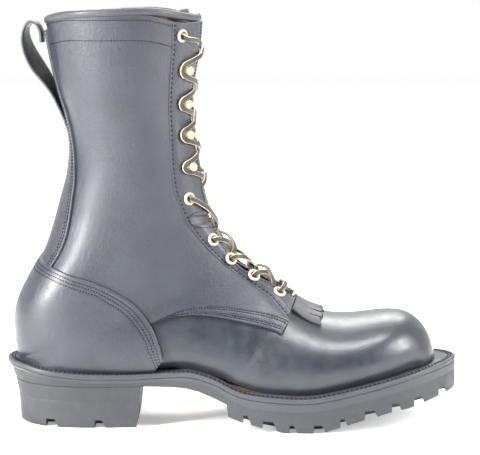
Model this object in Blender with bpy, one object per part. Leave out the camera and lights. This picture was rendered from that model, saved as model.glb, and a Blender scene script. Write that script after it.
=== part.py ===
"""A right wildland fire boot: lace-up leather upper, welted lug sole, stacked heel.

+X points to the toe, +Z up, -Y to the lateral (outer) side. The origin is on the ground
under the middle of the boot. Tables and sizes are in millimetres; MM turns them into metres.
"""

import bmesh
import bpy
import numpy as np
from mathutils import Vector

MM = 0.001
GAP = 0.3            # clearance between pieces that touch

# --- Driving dimensions -------------------------------------------------------------------
WELT_LIFT = -0.6     # the welt's top face below the table of its heights
LEATHER = 2.0        # quarter leather
VAMP_THICK = 2.2
OVERLAY_LIFT = 3.5   # inner face of the counter, backstay and facing above the last surface
COUNTER_THICK = 1.7
FACING_OUT = OVERLAY_LIFT + 1.5   # outer face of the facings above the last
BACKSTAY_THICK = 1.4
EYELET_BARREL = 3.0
WELT_THICK = 3.6
HEEL_LIFT_TOP = 19.5
LUG_DEPTH = 5.5
STRAP_WIDTH = 20.0
STRAP_THICK = 2.6

# Each section of the upper is a closed or bottom-open curve on a slanted line seen from the
# side: back or bottom end (x, z), front or ridge end (x, z), half width lateral and medial,
# share of the line at which it is widest, and y of the ridge.
SECTIONS = [
    (-127.7, 281.4, -24.0, 286.4, 50.0, 50.0, 0.5, 0.0),
    (-124.3, 260.4, -25.8, 263.4, 48.0, 48.0, 0.5, 0.0),
    (-119.5, 237.4, -30.0, 239.4, 45.0, 45.0, 0.5, 0.0),
    (-113.5, 215.4, -31.8, 217.4, 41.5, 41.5, 0.5, 0.0),
    (-110.8, 194.4, -28.6, 196.4, 38.8, 38.8, 0.5, 0.0),
    (-112.8, 174.4, -24.6, 178.4, 36.8, 36.8, 0.5, 0.0),
    (-117.6, 156.4, -21.0, 162.4, 35.4, 35.4, 0.52, 0.0),
    (-123.0, 137.4, -15.5, 145.4, 34.6, 34.6, 0.54, 0.0),
    (-129.5, 119.4, -9.0, 133.4, 34.4, 34.4, 0.57, 0.0),
    (-140.0, 101.4, -3.2, 125.4, 34.4, 34.4, 0.6, 0.0),
    (-148.8, 82.4, 1.5, 119.4, 34.6, 34.6, 0.62, 0.0),
    (-150.2, 63.6, 6.0, 114.4, 34.8, 34.8, 0.63, 0.0),
    (-147.0, 46.9, 10.5, 110.4, 35.0, 34.8, 0.64, 0.0),
    (-133.0, 42.4, 14.5, 107.4, 35.5, 35.0, 0.66, 0.0),
    (-112.0, 40.2, 18.5, 105.1, 36.5, 35.0, 0.68, 0.5),
    (-88.0, 38.9, 22.5, 101.9, 37.5, 35.0, 0.7, 1.0),
    (-62.0, 39.3, 27.0, 98.4, 38.5, 35.5, 0.7, 1.5),
    (-36.0, 40.9, 32.0, 94.0, 40.0, 37.0, 0.71, 2.0),
    (-10.0, 35.9, 38.5, 89.4, 43.5, 40.5, 0.72, 2.5),
    (16.0, 27.2, 47.0, 83.9, 47.0, 44.5, 0.73, 3.0),
    (38.0, 24.9, 57.0, 78.6, 49.0, 46.8, 0.74, 3.5),
    (58.0, 25.4, 70.0, 75.0, 49.5, 47.5, 0.75, 4.0),
    (76.0, 28.4, 84.0, 74.4, 48.5, 47.5, 0.76, 4.5),
    (92.0, 31.6, 98.0, 75.8, 45.5, 46.0, 0.77, 5.0),
    (104.0, 34.2, 111.0, 77.0, 42.0, 43.6, 0.79, 5.5),
    (113.0, 36.3, 122.0, 75.9, 38.4, 41.0, 0.82, 6.0),
    (120.0, 37.9, 131.0, 71.4, 35.0, 38.2, 0.86, 6.0),
    (125.0, 38.9, 138.5, 62.9, 32.0, 35.6, 0.92, 6.0),
    (128.0, 39.5, 143.0, 52.8, 30.0, 33.8, 0.97, 6.0),
    (129.0, 39.7, 144.8, 44.9, 29.3, 33.0, 0.999, 6.0),
]
HEEL_SECTION = 12    # the first section that is open along the bottom
TOE_SECTION = len(SECTIONS) - 1
FRONT_POWER = 2.0 / 2.15
FULLEST = 0.94       # the most that the edge takes up of a section's half width

# Where the upper meets the welt, in plan, heel to toe: x and half widths, lateral and medial
FEATHER = [
    (-147.2, 0.0, 0.0), (-146.2, 7.5, 7.5), (-142.5, 16.0, 16.0), (-135.5, 24.0, 23.8),
    (-125.0, 30.0, 29.3), (-110.0, 33.0, 31.6), (-92.0, 32.8, 30.6), (-72.0, 31.5, 28.0),
    (-52.0, 31.0, 25.6), (-32.0, 32.5, 25.4), (-12.0, 36.5, 28.6), (8.0, 41.8, 34.6),
    (26.0, 45.6, 40.0), (44.0, 47.4, 44.0), (62.0, 47.4, 46.2), (80.0, 45.2, 46.6),
    (98.0, 40.8, 45.0), (113.0, 34.0, 41.0), (126.0, 24.5, 34.6), (136.0, 13.0, 26.5),
    (142.5, 2.0, 16.5), (144.8, -6.0, 6.0),
]
# Height of the welt's top face along the boot
WELT_TOP = [
    (-162.0, 46.2), (-147.0, 45.0), (-135.0, 42.6), (-122.0, 41.0), (-100.0, 39.0), (-75.0, 38.5),
    (-60.0, 39.0), (-45.0, 40.0), (-30.0, 40.4), (-20.0, 38.3), (-10.0, 34.9), (0.0, 30.0),
    (10.0, 27.0), (25.0, 25.4), (45.0, 24.4), (58.0, 25.1), (72.0, 27.5), (88.0, 30.8),
    (110.0, 35.6), (132.0, 40.4), (146.0, 43.3), (162.0, 45.4),
]


def catmull(rows, at):
    """Rows of numbers read at real indices, along a Catmull-Rom curve."""
    rows = np.asarray(rows, float)
    at = np.atleast_1d(np.asarray(at, float))
    low = np.clip(np.floor(at).astype(int), 0, len(rows) - 2)
    f = (at - low)[:, None]
    padded = np.vstack([2 * rows[0] - rows[1], rows, 2 * rows[-1] - rows[-2]])
    a, b, c, d = padded[low], padded[low + 1], padded[low + 2], padded[low + 3]
    square = (2 * a - 5 * b + 4 * c - d) * f**2
    cube = (3 * b - a - 3 * c + d) * f**3
    return 0.5 * (2 * b + (c - a) * f + square + cube)


def smooth_curve(points, count):
    """Count points evenly spaced along a smooth curve through the given ones."""
    points = np.asarray(points, float)
    dense = catmull(points, np.linspace(0, len(points) - 1, 20 * len(points)))
    run = np.concatenate([[0], np.cumsum(np.linalg.norm(np.diff(dense, axis=0), axis=1))])
    at = np.linspace(0, run[-1], count)
    return np.stack([np.interp(at, run, column) for column in dense.T], axis=-1)


def step(x, low, high):
    """0 below low, 1 above high, smooth between."""
    f = np.clip((np.asarray(x, float) - low) / (high - low), 0, 1)
    return f * f * (3 - 2 * f)


FEATHER_FINE = catmull(FEATHER, np.linspace(0, len(FEATHER) - 1, 400))
WELT_FINE = catmull(WELT_TOP, np.linspace(0, len(WELT_TOP) - 1, 300))


def feather_half(x, side):
    column = 1 if side < 0 else 2
    return np.interp(x, FEATHER_FINE[:, 0], FEATHER_FINE[:, column])


def welt_top(x):
    return np.interp(x, WELT_FINE[:, 0], WELT_FINE[:, 1])


def girth(u, side):
    """A section's half width on one side, and the half turn's share at which it meets the welt."""
    row = catmull(SECTIONS, u).T
    edge = np.where(side < 0, feather_half(row[0], -1) + row[7], feather_half(row[0], 1) - row[7])
    edge = np.where(u > HEEL_SECTION, np.clip(edge, 0, None), 0)
    half = np.maximum(np.where(side < 0, row[4], row[5]), edge / FULLEST)
    return half, 1 - np.arcsin(edge / half) / np.pi


def last_surface(u, a):
    """Points of the last: u is the section, a the share of a half turn from the ridge, lateral < 0."""
    u, a = np.broadcast_arrays(np.asarray(u, float), np.asarray(a, float))
    shape = u.shape
    u, a = u.ravel(), a.ravel()
    back_x, back_z, ridge_x, ridge_z, _, _, widest, ridge_y = catmull(SECTIONS, u).T
    side = np.where(a < 0, -1.0, 1.0)
    half, end = girth(u, side)
    angle = np.abs(a) * np.pi
    cosine = np.abs(np.cos(angle))
    back_power = 2.0 / (2.15 + 0.85 * step(u, 6, 10))
    front = widest * (1 - cosine**FRONT_POWER)
    down = widest + (1 - widest) * (cosine / np.abs(np.cos(end * np.pi))) ** back_power
    share = np.where(angle < np.pi / 2, front, down)
    x = ridge_x + (back_x - ridge_x) * share
    z = ridge_z + (back_z - ridge_z) * share
    return np.stack([x, ridge_y + side * half * np.sin(angle), z], axis=-1).reshape(shape + (3,))


def last_normal(u, a):
    """Outward unit normals of the last."""
    u, a = np.broadcast_arrays(np.asarray(u, float), np.asarray(a, float))
    du, da = 0.02, 0.004
    along = last_surface(np.minimum(u + du, TOE_SECTION), a) - last_surface(np.maximum(u - du, -1), a)
    across = last_surface(u, np.minimum(a + da, 1)) - last_surface(u, np.maximum(a - da, -1))
    normal = np.cross(along, across)
    return normal / np.linalg.norm(normal, axis=-1, keepdims=True)


def skin(u, a, out):
    """Points at the height out above the last."""
    return last_surface(u, a) + last_normal(u, a) * np.asarray(out, float)[..., None]


def meet(x, z):
    """The (u, a) of the last's lateral point that is seen at (x, z) from the side."""
    sections = np.linspace(0, TOE_SECTION, 581)
    rows = catmull(SECTIONS, sections)
    back, ridge = rows[:, :2], rows[:, 2:4]
    chord = back - ridge
    reach = np.array([x, z]) - ridge
    miss = chord[:, 0] * reach[:, 1] - chord[:, 1] * reach[:, 0]
    share = (reach * chord).sum(axis=1) / (chord * chord).sum(axis=1)
    changes = np.nonzero(miss[:-1] * miss[1:] <= 0)[0]
    nearby = [i for i in changes if -0.3 < share[i] < 1.3] or [int(np.abs(miss[:-1]).argmin())]
    i = min(nearby, key=lambda k: abs(share[k] - 0.5))
    change = miss[i] - miss[i + 1]
    f = np.clip(miss[i] / change, 0, 1) if change else 0.0
    u = sections[i] + f * (sections[1] - sections[0])
    want = np.clip(share[i] + f * (share[i + 1] - share[i]), 0, 1)
    across = np.linspace(-girth(np.array([u]), -1)[1][0], 0, 801)
    line = catmull(SECTIONS, u)[0]
    reached = (last_surface(u, across)[:, [0, 2]] - line[2:4]) @ (line[:2] - line[2:4])
    reached = reached / ((line[:2] - line[2:4]) ** 2).sum()
    return u, float(np.interp(-want, -reached, across))


def locate(x, z, out=0.0):
    """The same for a point at the height out above the last."""
    goal = np.array([x, z])
    aim = goal
    for _ in range(4 if out else 1):
        u, a = meet(*aim)
        aim = aim + 0.8 * (goal - skin(u, a, out)[[0, 2]])
    return u, a


def trace(points, count, out=0.0):
    """Count (u, a) pairs on the lateral side, along a smooth side-view line through (x, z) points."""
    return np.array([locate(x, z, out) for x, z in smooth_curve(points, count)])


# --- Meshes and materials -----------------------------------------------------------------
def material(name, colour, roughness, metallic=0.0):
    made = bpy.data.materials.new(name)
    made.use_nodes = True
    shader = made.node_tree.nodes["Principled BSDF"]
    shader.inputs["Base Color"].default_value = (*colour, 1.0)
    shader.inputs["Roughness"].default_value = roughness
    shader.inputs["Metallic"].default_value = metallic
    return made


def make_object(name, verts, faces, look):
    """One mesh object from points in millimetres, its faces turned outward."""
    shape = bmesh.new()
    corners = [shape.verts.new(Vector(v) * MM) for v in verts]
    for face in faces:
        shape.faces.new([corners[i] for i in face])
    bmesh.ops.recalc_face_normals(shape, faces=shape.faces)
    if shape.calc_volume(signed=True) < 0:
        bmesh.ops.reverse_faces(shape, faces=shape.faces)
    mesh = bpy.data.meshes.new(name)
    shape.to_mesh(mesh)
    shape.free()
    mesh.materials.append(material(name, *look))
    mesh.shade_smooth()
    mesh.set_sharp_from_angle(angle=0.6)
    made = bpy.data.objects.new(name, mesh)
    bpy.context.scene.collection.objects.link(made)
    return made


def shell(name, outer, inner, look):
    """A sheet with thickness between two grids of points of the same size."""
    rows, columns = outer.shape[:2]
    verts = np.concatenate([outer.reshape(-1, 3), inner.reshape(-1, 3)])
    under = rows * columns
    faces = []
    for i in range(rows - 1):
        for j in range(columns - 1):
            a = i * columns + j
            faces.append((a, a + 1, a + columns + 1, a + columns))
            faces.append((a + under, a + columns + under, a + columns + 1 + under, a + 1 + under))
    rim = list(range(columns))
    rim += [i * columns + columns - 1 for i in range(1, rows)]
    rim += [(rows - 1) * columns + j for j in range(columns - 2, -1, -1)]
    rim += [i * columns for i in range(rows - 2, 0, -1)]
    for a, b in zip(rim, rim[1:] + rim[:1]):
        faces.append((a, a + under, b + under, b))
    return make_object(name, verts, faces, look)


def coons(top, bottom, rear, front):
    """A grid of (u, a) pairs that fills four border curves; rows run from top to bottom."""
    t = np.linspace(0, 1, len(rear))[:, None, None]
    s = np.linspace(0, 1, len(top))[None, :, None]
    ends = (1 - t) * top[None] + t * bottom[None]
    sides = (1 - s) * rear[:, None] + s * front[:, None]
    corners = (1 - t) * ((1 - s) * top[0] + s * top[-1]) + t * ((1 - s) * bottom[0] + s * bottom[-1])
    return ends + sides - corners


def panel(name, grid, low, high, look, mirror=False):
    """A piece of leather on the last, between the heights low and high above it."""
    u, a = grid[..., 0], grid[..., 1] * (-1 if mirror else 1)
    low = np.broadcast_to(low, u.shape)
    high = np.broadcast_to(high, u.shape)
    return shell(name, skin(u, a, high), skin(u, a, low), look)


def hang(piece, name, place):
    """Parents a moving piece to an empty on its joint's axis."""
    axis = bpy.data.objects.new(name, None)
    axis.location = Vector(place) * MM
    bpy.context.scene.collection.objects.link(axis)
    piece.parent = axis
    piece.location = -axis.location


def cut(target, cutters):
    """Booleans the cutters out of the target."""
    for number, cutter in enumerate(cutters):
        cutter.hide_render = True
        cutter.display_type = "WIRE"
        cutting = target.modifiers.new(f"cut_{number}", "BOOLEAN")
        cutting.operation = "DIFFERENCE"
        cutting.object = cutter


BLACK = (0.018, 0.019, 0.022)
LEATHER_LOOK = (BLACK, 0.42)
EDGE_LOOK = ((0.022, 0.022, 0.024), 0.6)
RUBBER_LOOK = ((0.03, 0.031, 0.034), 0.6)
TAN_LOOK = ((0.55, 0.36, 0.16), 0.6)
BRASS_LOOK = ((0.78, 0.62, 0.34), 0.35, 0.8)
CREAM_METAL_LOOK = ((0.8, 0.72, 0.52), 0.3, 0.4)
STEEL_LOOK = ((0.5, 0.5, 0.5), 0.35, 1.0)
LACE_LOOK = ((0.06, 0.05, 0.045), 0.6)
CORK_LOOK = ((0.36, 0.22, 0.11), 0.9)
LINING_LOOK = ((0.12, 0.08, 0.05), 0.7)
BOARD_LOOK = ((0.5, 0.45, 0.35), 0.6)


# --- Upper: outlines of the panels, seen from the side (x, z) ------------------------------
TOP_U = 0.17         # section at which the quarters end, under the binding
SEAM_A = 0.992       # the quarters' back seam
FACING_REAR = [
    (-39.9, 282.0), (-40.4, 265.0), (-42.0, 244.0), (-43.0, 223.0), (-42.5, 202.0), (-41.6, 181.0),
    (-39.6, 165.0), (-36.1, 155.5), (-32.7, 147.0), (-27.0, 137.5), (-18.2, 126.0), (-3.9, 111.6),
    (12.7, 99.6), (26.3, 90.7), (32.2, 84.0),
]
QUARTER_BOTTOM = [
    (-140.0, 62.0), (-118.0, 58.0), (-95.0, 58.0), (-75.0, 63.0), (-55.2, 72.8), (-42.4, 77.6),
    (-28.4, 79.2), (-14.4, 78.3), (-0.3, 76.0), (13.6, 73.2), (27.8, 69.9), (34.1, 67.3),
]
QUARTER_TAB = [(41.6, 83.2), (40.4, 77.7), (37.6, 72.0), (34.1, 67.3)]
COUNTER_EDGE = [
    (-133.2, 115.0), (-127.0, 112.6), (-110.3, 106.6), (-92.9, 101.0), (-80.4, 95.0), (-69.6, 87.8),
    (-61.0, 78.5), (-54.8, 68.8), (-50.7, 58.0), (-48.0, 48.5),
]
COUNTER_BACK_U = 8.15
VAMP_REAR = [
    (-68.0, 46.0), (-66.0, 60.0), (-56.0, 82.0), (-40.0, 89.0), (-16.0, 90.0), (8.0, 85.0),
    (26.0, 81.0), (37.0, 82.0),
]
VAMP_THROAT_U = 18.95
BACKSTAY_WIDTH = [(0.0, 10.0), (3.7, 17.0), (5.1, 22.0), (7.0, 26.0), (9.0, 27.5)]
GAP_HALF = 13.0      # half the opening between the facings
FACING_LAP = 3.8
EYELET_PLACES = [
    (33.2, 92.7), (15.1, 104.5), (-1.0, 116.4), (-13.5, 130.4), (-29.9, 159.8), (-34.1, 272.6),
]
HOOK_PLACES = [(-30.9, 181.8), (-33.0, 203.6), (-34.3, 226.0), (-33.0, 249.6)]
SIDES = (("lateral", 1), ("medial", -1))


def half_at(u):
    """Half widths of the last on the lateral side."""
    return catmull(SECTIONS, u)[:, 4]


def edge_of_gap(u, half_gap=GAP_HALF):
    """The a of a line that keeps a set distance from the ridge."""
    u = np.atleast_1d(u)
    return -np.arcsin(half_gap / girth(u, -1)[0]) / np.pi


def along_skin(pairs, shares, out):
    """(u, a) pairs at shares of the length of a line drawn on the leather."""
    points = skin(pairs[:, 0], pairs[:, 1], out)
    run = np.concatenate([[0], np.cumsum(np.linalg.norm(np.diff(points, axis=0), axis=1))])
    return np.stack([np.interp(shares * run[-1], run, column) for column in pairs.T], axis=-1)


def facing_borders(rows):
    """The facing's rear edge and its edge at the gap, as (u, a) pairs from the top down."""
    rear = trace(FACING_REAR, rows, 4.0)
    rear[0, 0] = TOP_U
    front_u = np.linspace(TOP_U, 18.6, rows)
    return rear, np.stack([front_u, edge_of_gap(front_u)], axis=-1)


def quarter_grid(rows=25, columns=14):
    """The quarter's (u, a) pairs, from its back seam to the facing and from the collar down."""
    rear = np.stack([np.linspace(TOP_U, 11.6, rows), np.full(rows, -SEAM_A)], axis=-1)
    lap, edge = facing_borders(40)
    run = np.linalg.norm(skin(*edge.T, 2.0) - skin(*lap.T, 2.0), axis=-1)
    lapped = lap + (edge - lap) * np.minimum(FACING_LAP / run, 0.6)[:, None]
    tab = trace(QUARTER_TAB, 5, 2.0)
    front = np.concatenate([smooth_curve(lapped, rows - 5), tab])
    sewn = trace(QUARTER_BOTTOM, 40, 2.0)
    bottom = np.concatenate([np.linspace(rear[-1], sewn[0], 8)[:-1], sewn[:-1], front[-1:]])
    share = np.linspace(0, 1, columns) ** 1.2
    bottom = along_skin(bottom, share, 2.0)
    top = rear[0] + (front[0] - rear[0]) * share[:, None]
    return coons(top, bottom, rear, front)


def make_quarters():
    grid = quarter_grid()
    for side, flip in SIDES:
        panel(f"quarter_{side}", grid, 0.5, 0.5 + LEATHER, LEATHER_LOOK, flip < 0)


def make_facings(rows=25, columns=5):
    rear, front = facing_borders(rows)
    share = np.linspace(0, 1, columns)[None, :, None]
    grid = rear[:, None] * (1 - share) + front[:, None] * share
    run = np.linalg.norm(skin(*front.T, 2.0) - skin(*rear.T, 2.0), axis=-1)[:, None] * share[..., 0]
    low = OVERLAY_LIFT + 0.2 - 1.9 * step(run, FACING_LAP + 3.8, FACING_LAP + 8.5)
    low = low + 0.75 * (step(grid[..., 0], 6, 8) - step(grid[..., 0], 13, 15))
    return [panel(f"facing_{side}", grid, low, FACING_OUT, LEATHER_LOOK, flip < 0)
            for side, flip in SIDES]


def welt_contact(sections, out, side=-1):
    """(u, a) pairs at which a sheet at this height above the last comes down to the welt."""
    pairs = []
    for u, end in zip(sections, girth(sections, side)[1]):
        a = side * np.linspace(end, end - 0.2, 121)
        low = skin(u, a, out)
        clear = low[:, 2] > welt_top(low[:, 0]) + WELT_LIFT + 7.5 * GAP
        pairs.append((u, a[int(clear.argmax())]))
    return np.array(pairs)


def vamp_grid(rows=21, half_columns=9, back=0.0, toe=28.9, out=-VAMP_THICK):
    """Rows from the throat and the wings' rear edge to the toe, columns across the foot."""
    wing = trace(VAMP_REAR, half_columns)
    bend = smooth_curve([tuple(wing[-1]), (VAMP_THROAT_U - 0.1, -0.13), (VAMP_THROAT_U, 0.0)], 4)[1:]
    rear = np.concatenate([wing, bend]) + np.array([back, 0])
    rear = np.concatenate([rear, (rear * [1, -1])[-2::-1]])
    sections = rear[0, 0] + (toe - rear[0, 0]) * np.linspace(0, 1, rows)
    lateral, medial = welt_contact(sections, out), welt_contact(sections, out, 1)
    rear[0], rear[-1] = lateral[0], medial[0]
    across = np.linspace(lateral[-1, 1], medial[-1, 1], len(rear))
    front = np.stack([np.full(len(rear), toe), across], axis=-1)
    return coons(rear, front, lateral, medial)


def make_forefoot():
    panel("vamp", vamp_grid(), -VAMP_THICK, 0.0, LEATHER_LOOK)
    panel("vamp_lining", vamp_grid(11, 5, 1.2, 27.1, -7.1), -7.1, -6.0, LINING_LOOK)
    u = np.linspace(24.6, 28.0, 7)
    lateral, medial = welt_contact(u, -4.2), welt_contact(u, -4.2, 1)
    share = np.linspace(0.08, 0.92, 13)[None, :, None]
    grid = lateral[:, None] * (1 - share) + medial[:, None] * share
    panel("toe_stiffener", grid, -4.3, -3.5, BOARD_LOOK)


def around_back(u, distance):
    """(u, a) pairs beside the back seam, at a distance along the skin; negative is lateral."""
    away = 1 - np.abs(distance) / (np.pi * half_at(u))
    return np.stack([u, np.where(distance < 0, -away, away)], axis=-1)


def counter_edge(count):
    """The counter's upper edge as (u, a) pairs, from the back seam to the lateral welt."""
    side = trace(COUNTER_EDGE, count - 2, 4.5)
    seam = np.array([COUNTER_BACK_U, -1.0])
    return np.concatenate([[seam, (seam + side[0]) / 2], side])


def counter_columns(edge, rows):
    """Columns from the edge to the welt, one for each pair on the edge."""
    bottom = welt_contact(HEEL_SECTION - 0.2 + 4.4 * np.linspace(0, 1, len(edge)), OVERLAY_LIFT)
    bottom[0, 1] = -1.0
    share = np.linspace(0, 1, rows)[:, None, None]
    return edge * (1 - share) + bottom * share


def wrap_back(grid):
    """A lateral grid that starts at the back seam, carried round to the medial side."""
    return np.concatenate([grid[:, ::-1], (grid * [1, -1])[:, 1:]], axis=1)


def make_heel():
    grid = wrap_back(counter_columns(counter_edge(16), 8))
    panel("heel_counter", grid, OVERLAY_LIFT + GAP, OVERLAY_LIFT + COUNTER_THICK + GAP, LEATHER_LOOK)
    inner = trace([(-136.0, 96.0), (-110.0, 90.0), (-90.0, 80.0), (-80.0, 62.0), (-77.0, 50.0)], 10, 0.0)
    inner = np.concatenate([[(9.6, -1.0)], inner])
    bottom = welt_contact(np.linspace(HEEL_SECTION - 0.2, 15.05, 11), -3.2)
    bottom[0, 1] = -1.0
    share = np.linspace(0, 1, 6)[:, None, None]
    grid = wrap_back(inner * (1 - share) + bottom * share)
    panel("counter_stiffener", grid, -3.2, -1.2, BOARD_LOOK)


def make_backstay(rows=20, columns=5):
    edge = counter_edge(30)
    grid = []
    for share in np.linspace(0, 1, rows):
        row = []
        for across in np.linspace(-1, 1, columns):
            u = TOP_U + 0.25 + share * (COUNTER_BACK_U - 0.12 - TOP_U - 0.25)
            width = np.interp(u, *zip(*BACKSTAY_WIDTH)) * across
            pair = around_back(np.array([u]), np.array([width]))[0]
            limit = np.interp(-abs(pair[1]), edge[:5, 1], edge[:5, 0])
            row.append(pair + [share * (limit - COUNTER_BACK_U - 0.08), 0])
        grid.append(row)
    panel("backstay", np.array(grid), OVERLAY_LIFT, OVERLAY_LIFT + BACKSTAY_THICK, LEATHER_LOOK)


def make_collar():
    rim = np.linspace(edge_of_gap(0.1)[0], -1.0, 15)
    across = np.concatenate([rim, -rim[-2::-1]])
    grid = np.stack(np.meshgrid([0.0, 0.15], across, indexing="ij"), axis=-1)
    panel("top_binding", grid, -0.6, 3.6, LEATHER_LOOK)
    inside = np.linspace(-0.42, -1.0, 12)
    across = np.concatenate([inside, -inside[-2::-1]])
    grid = np.stack(np.meshgrid([0.2, 1.0], across, indexing="ij"), axis=-1)
    panel("collar_lining", grid, -1.5, 0.0, LINING_LOOK)


TONGUE_TOP_U = -0.28
TONGUE_AXIS = (36.0, 2.7, 85.0)
TONGUE_HALF = [
    (-0.5, 46.0), (0.6, 44.0), (3.0, 32.0), (6.0, 27.0), (12.0, 25.0), (17.5, 22.0), (18.4, 17.0),
]
TONGUE_DEPTH = [(-0.5, 6.5), (3.0, 6.0), (7.0, 5.0), (12.0, 4.8), (18.4, 4.8)]


def make_tongue(rows=26, columns=7):
    u = np.linspace(TONGUE_TOP_U, 18.3, rows)
    half = edge_of_gap(u, np.interp(u, *zip(*TONGUE_HALF)))
    share = np.linspace(-1, 1, columns)
    grid = np.stack([np.repeat(u[:, None], columns, 1), -half[:, None] * share], axis=-1)
    depth = np.interp(u, *zip(*TONGUE_DEPTH))[:, None] * np.ones(columns)
    tongue = panel("tongue", grid, -depth - 2.0, -depth, LEATHER_LOOK)
    hang(tongue, "tongue_axis", TONGUE_AXIS)


KILTIE_AXIS = (41.5, 3.0, 89.3)


def make_kiltie(columns=25):
    """A flap over the throat whose front edge is slit into a fringe."""
    across = np.linspace(-0.19, 0.19, columns)
    slits = 0.42 * (np.arange(columns) % 5 == 2)
    front = np.stack([20.55 - 2.0 * across**2 - slits, across], axis=-1)
    rear = np.stack([np.full(columns, 18.72), across * 0.9], axis=-1)
    share = np.linspace(0, 1, 4)[:, None, None]
    kiltie = panel("kiltie", rear * (1 - share) + front * share, 0.6, 2.8, LEATHER_LOOK)
    hang(kiltie, "kiltie_axis", KILTIE_AXIS)


# --- Sole ---------------------------------------------------------------------------------
BREAST_X = -62.5     # front face of the heel
SOLE_BOTTOM = [
    (-64.0, 29.2), (-44.0, 29.2), (-33.0, 28.7), (-23.0, 26.4), (-13.0, 22.6), (-4.0, 18.6),
]
TREAD = [
    (-3.0, 10.0), (6.5, 6.6), (20.0, 3.3), (29.0, 1.5), (39.0, 0.0), (62.0, 0.0), (68.0, 2.0),
    (91.0, 8.5), (110.0, 12.7), (124.0, 14.6), (141.0, 18.8), (158.0, 21.8),
]
HEEL_PARTING = [(-162.0, 30.3), (-130.0, 29.6), (-98.0, 29.2), (-60.0, 29.2)]


ARCH_BOTTOM = HEEL_PARTING[:-1] + SOLE_BOTTOM + TREAD
# Side grooves of the tread: x and width
NOTCHES = [
    (9.0, 3.0), (24.6, 7.0), (41.0, 3.0), (59.0, 5.8), (76.0, 3.0), (95.0, 6.8), (113.0, 4.8),
    (129.7, 5.5), (147.0, 5.0),
]
HEEL_NOTCHES = [(-127.5, 6.0), (-93.5, 5.0)]
NOTCH_REACH = 14.0   # length across the boot, part of it beside the edge
NOTCH_BESIDE = 4.0
NOTCH_BELOW = 6.0
NOTCH_FLARE = 5.0    # how far a groove's front wall slants forward


def margin(x):
    """How far the sole's edge stands out from where the upper meets the welt."""
    return 8.2 + 3.3 * (1 - step(x, -150, -60)) + 2.8 * step(x, 70, 150)


def edge_line(side, inset):
    """A plan line beside the upper's welt line, heel to toe; inset is taken off the margin."""
    rows = FEATHER_FINE
    line = np.stack([rows[:, 0], side * rows[:, 1 if side < 0 else 2]], axis=-1)
    along = np.gradient(line, axis=0)
    along[0], along[-1] = (0, side), (0, -side)
    along /= np.linalg.norm(along, axis=1, keepdims=True)
    out = np.stack([-along[:, 1], along[:, 0]], axis=-1) * side
    return line + out * (margin(line[:, 0]) - inset(line[:, 0]))[:, None]


def heel_taper(amount):
    """An inset that grows towards the heel's back."""
    return lambda x: amount * (0.35 + 0.65 * (1 - step(x, -150, -70))) * (1 - step(x, -70, -30))


def under_upper(forefoot, heel):
    """An inset measured inwards from the welt line itself."""
    return lambda x: margin(x) + heel + (forefoot - heel) * step(x, -80, -55)


def rows_between(start, end, count, extra):
    """Stations along the boot, closer together towards its rounded ends."""
    t = np.linspace(0, 1, count)
    share = t**1.9 * (1 - t) + (1 - (1 - t) ** 1.9) * t
    return np.unique(np.round(np.concatenate([start + (end - start) * share, extra]), 3))


def plan_edges(x, inset):
    """Points of the lateral and medial edge at stations x, fitted to a line that may be shorter."""
    edges = []
    lines = [edge_line(side, inset) for side in (-1, 1)]
    heel, toe = lines[0][0, 0] + 0.12, lines[0][-1, 0] - 0.12
    wide = edge_line(-1, none)
    back, front = wide[0, 0] + 0.12, wide[-1, 0] - 0.12
    near_heel = 1 - step(x, back, back + 45)
    near_toe = step(x, front - 45, front)
    x = x + (heel - back) * near_heel + (toe - front) * near_toe
    for line in lines:
        edges.append(np.stack([x, np.interp(x, line[:, 0], line[:, 1])], axis=-1))
    return edges


def slab(name, x, top, bottom, top_inset, bottom_inset, look):
    """A sole layer: top and bottom are heights along the boot at the stations x."""
    layers = []
    for height, inset in ((top, top_inset), (bottom, bottom_inset)):
        lateral, medial = plan_edges(x, inset)
        rows = [np.concatenate([edge, height(edge[:, :1])], axis=1) for edge in (lateral, medial)]
        layers.append(np.stack([rows[0], rows[1]], axis=1))
    return shell(name, layers[0], layers[1], look)


def none(x):
    return 0.0 * x


def welt_under(lift):
    return lambda x: welt_top(x) + lift


WELT_BASE = WELT_LIFT - WELT_THICK
WELT_TUCK = 3.0      # how far the welt reaches in under the upper
HEEL_END = -158.5
TOE_END = 155.5


CORNERS = (-64.0, -60.0, -44.0, -33.0, -23.0, -13.0, -4.0, -3.0, 39.0, 62.0)
SOLE_ROWS = rows_between(HEEL_END, TOE_END, 31, CORNERS)


def make_welt():
    x = SOLE_ROWS
    inner = under_upper(WELT_TUCK, WELT_TUCK)
    loops = []
    for inset, lift in ((none, WELT_LIFT), (none, WELT_BASE), (inner, WELT_BASE), (inner, WELT_LIFT)):
        lateral, medial = plan_edges(x, inset)
        line = np.concatenate([lateral, medial[::-1]])
        loops.append(np.column_stack([line, welt_top(line[:, 0]) + lift]))
    count = len(loops[0])
    faces = []
    for k in range(4):
        for i in range(count):
            j = (i + 1) % count
            a, b = k * count, (k + 1) % 4 * count
            faces.append((a + i, a + j, b + j, b + i))
    make_object("welt", np.concatenate(loops), faces, RUBBER_LOOK)


def midsole_bottom(x):
    return welt_top(x) + WELT_BASE - GAP - 2.2 - 3.0 * step(x, -25, 15)


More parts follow.
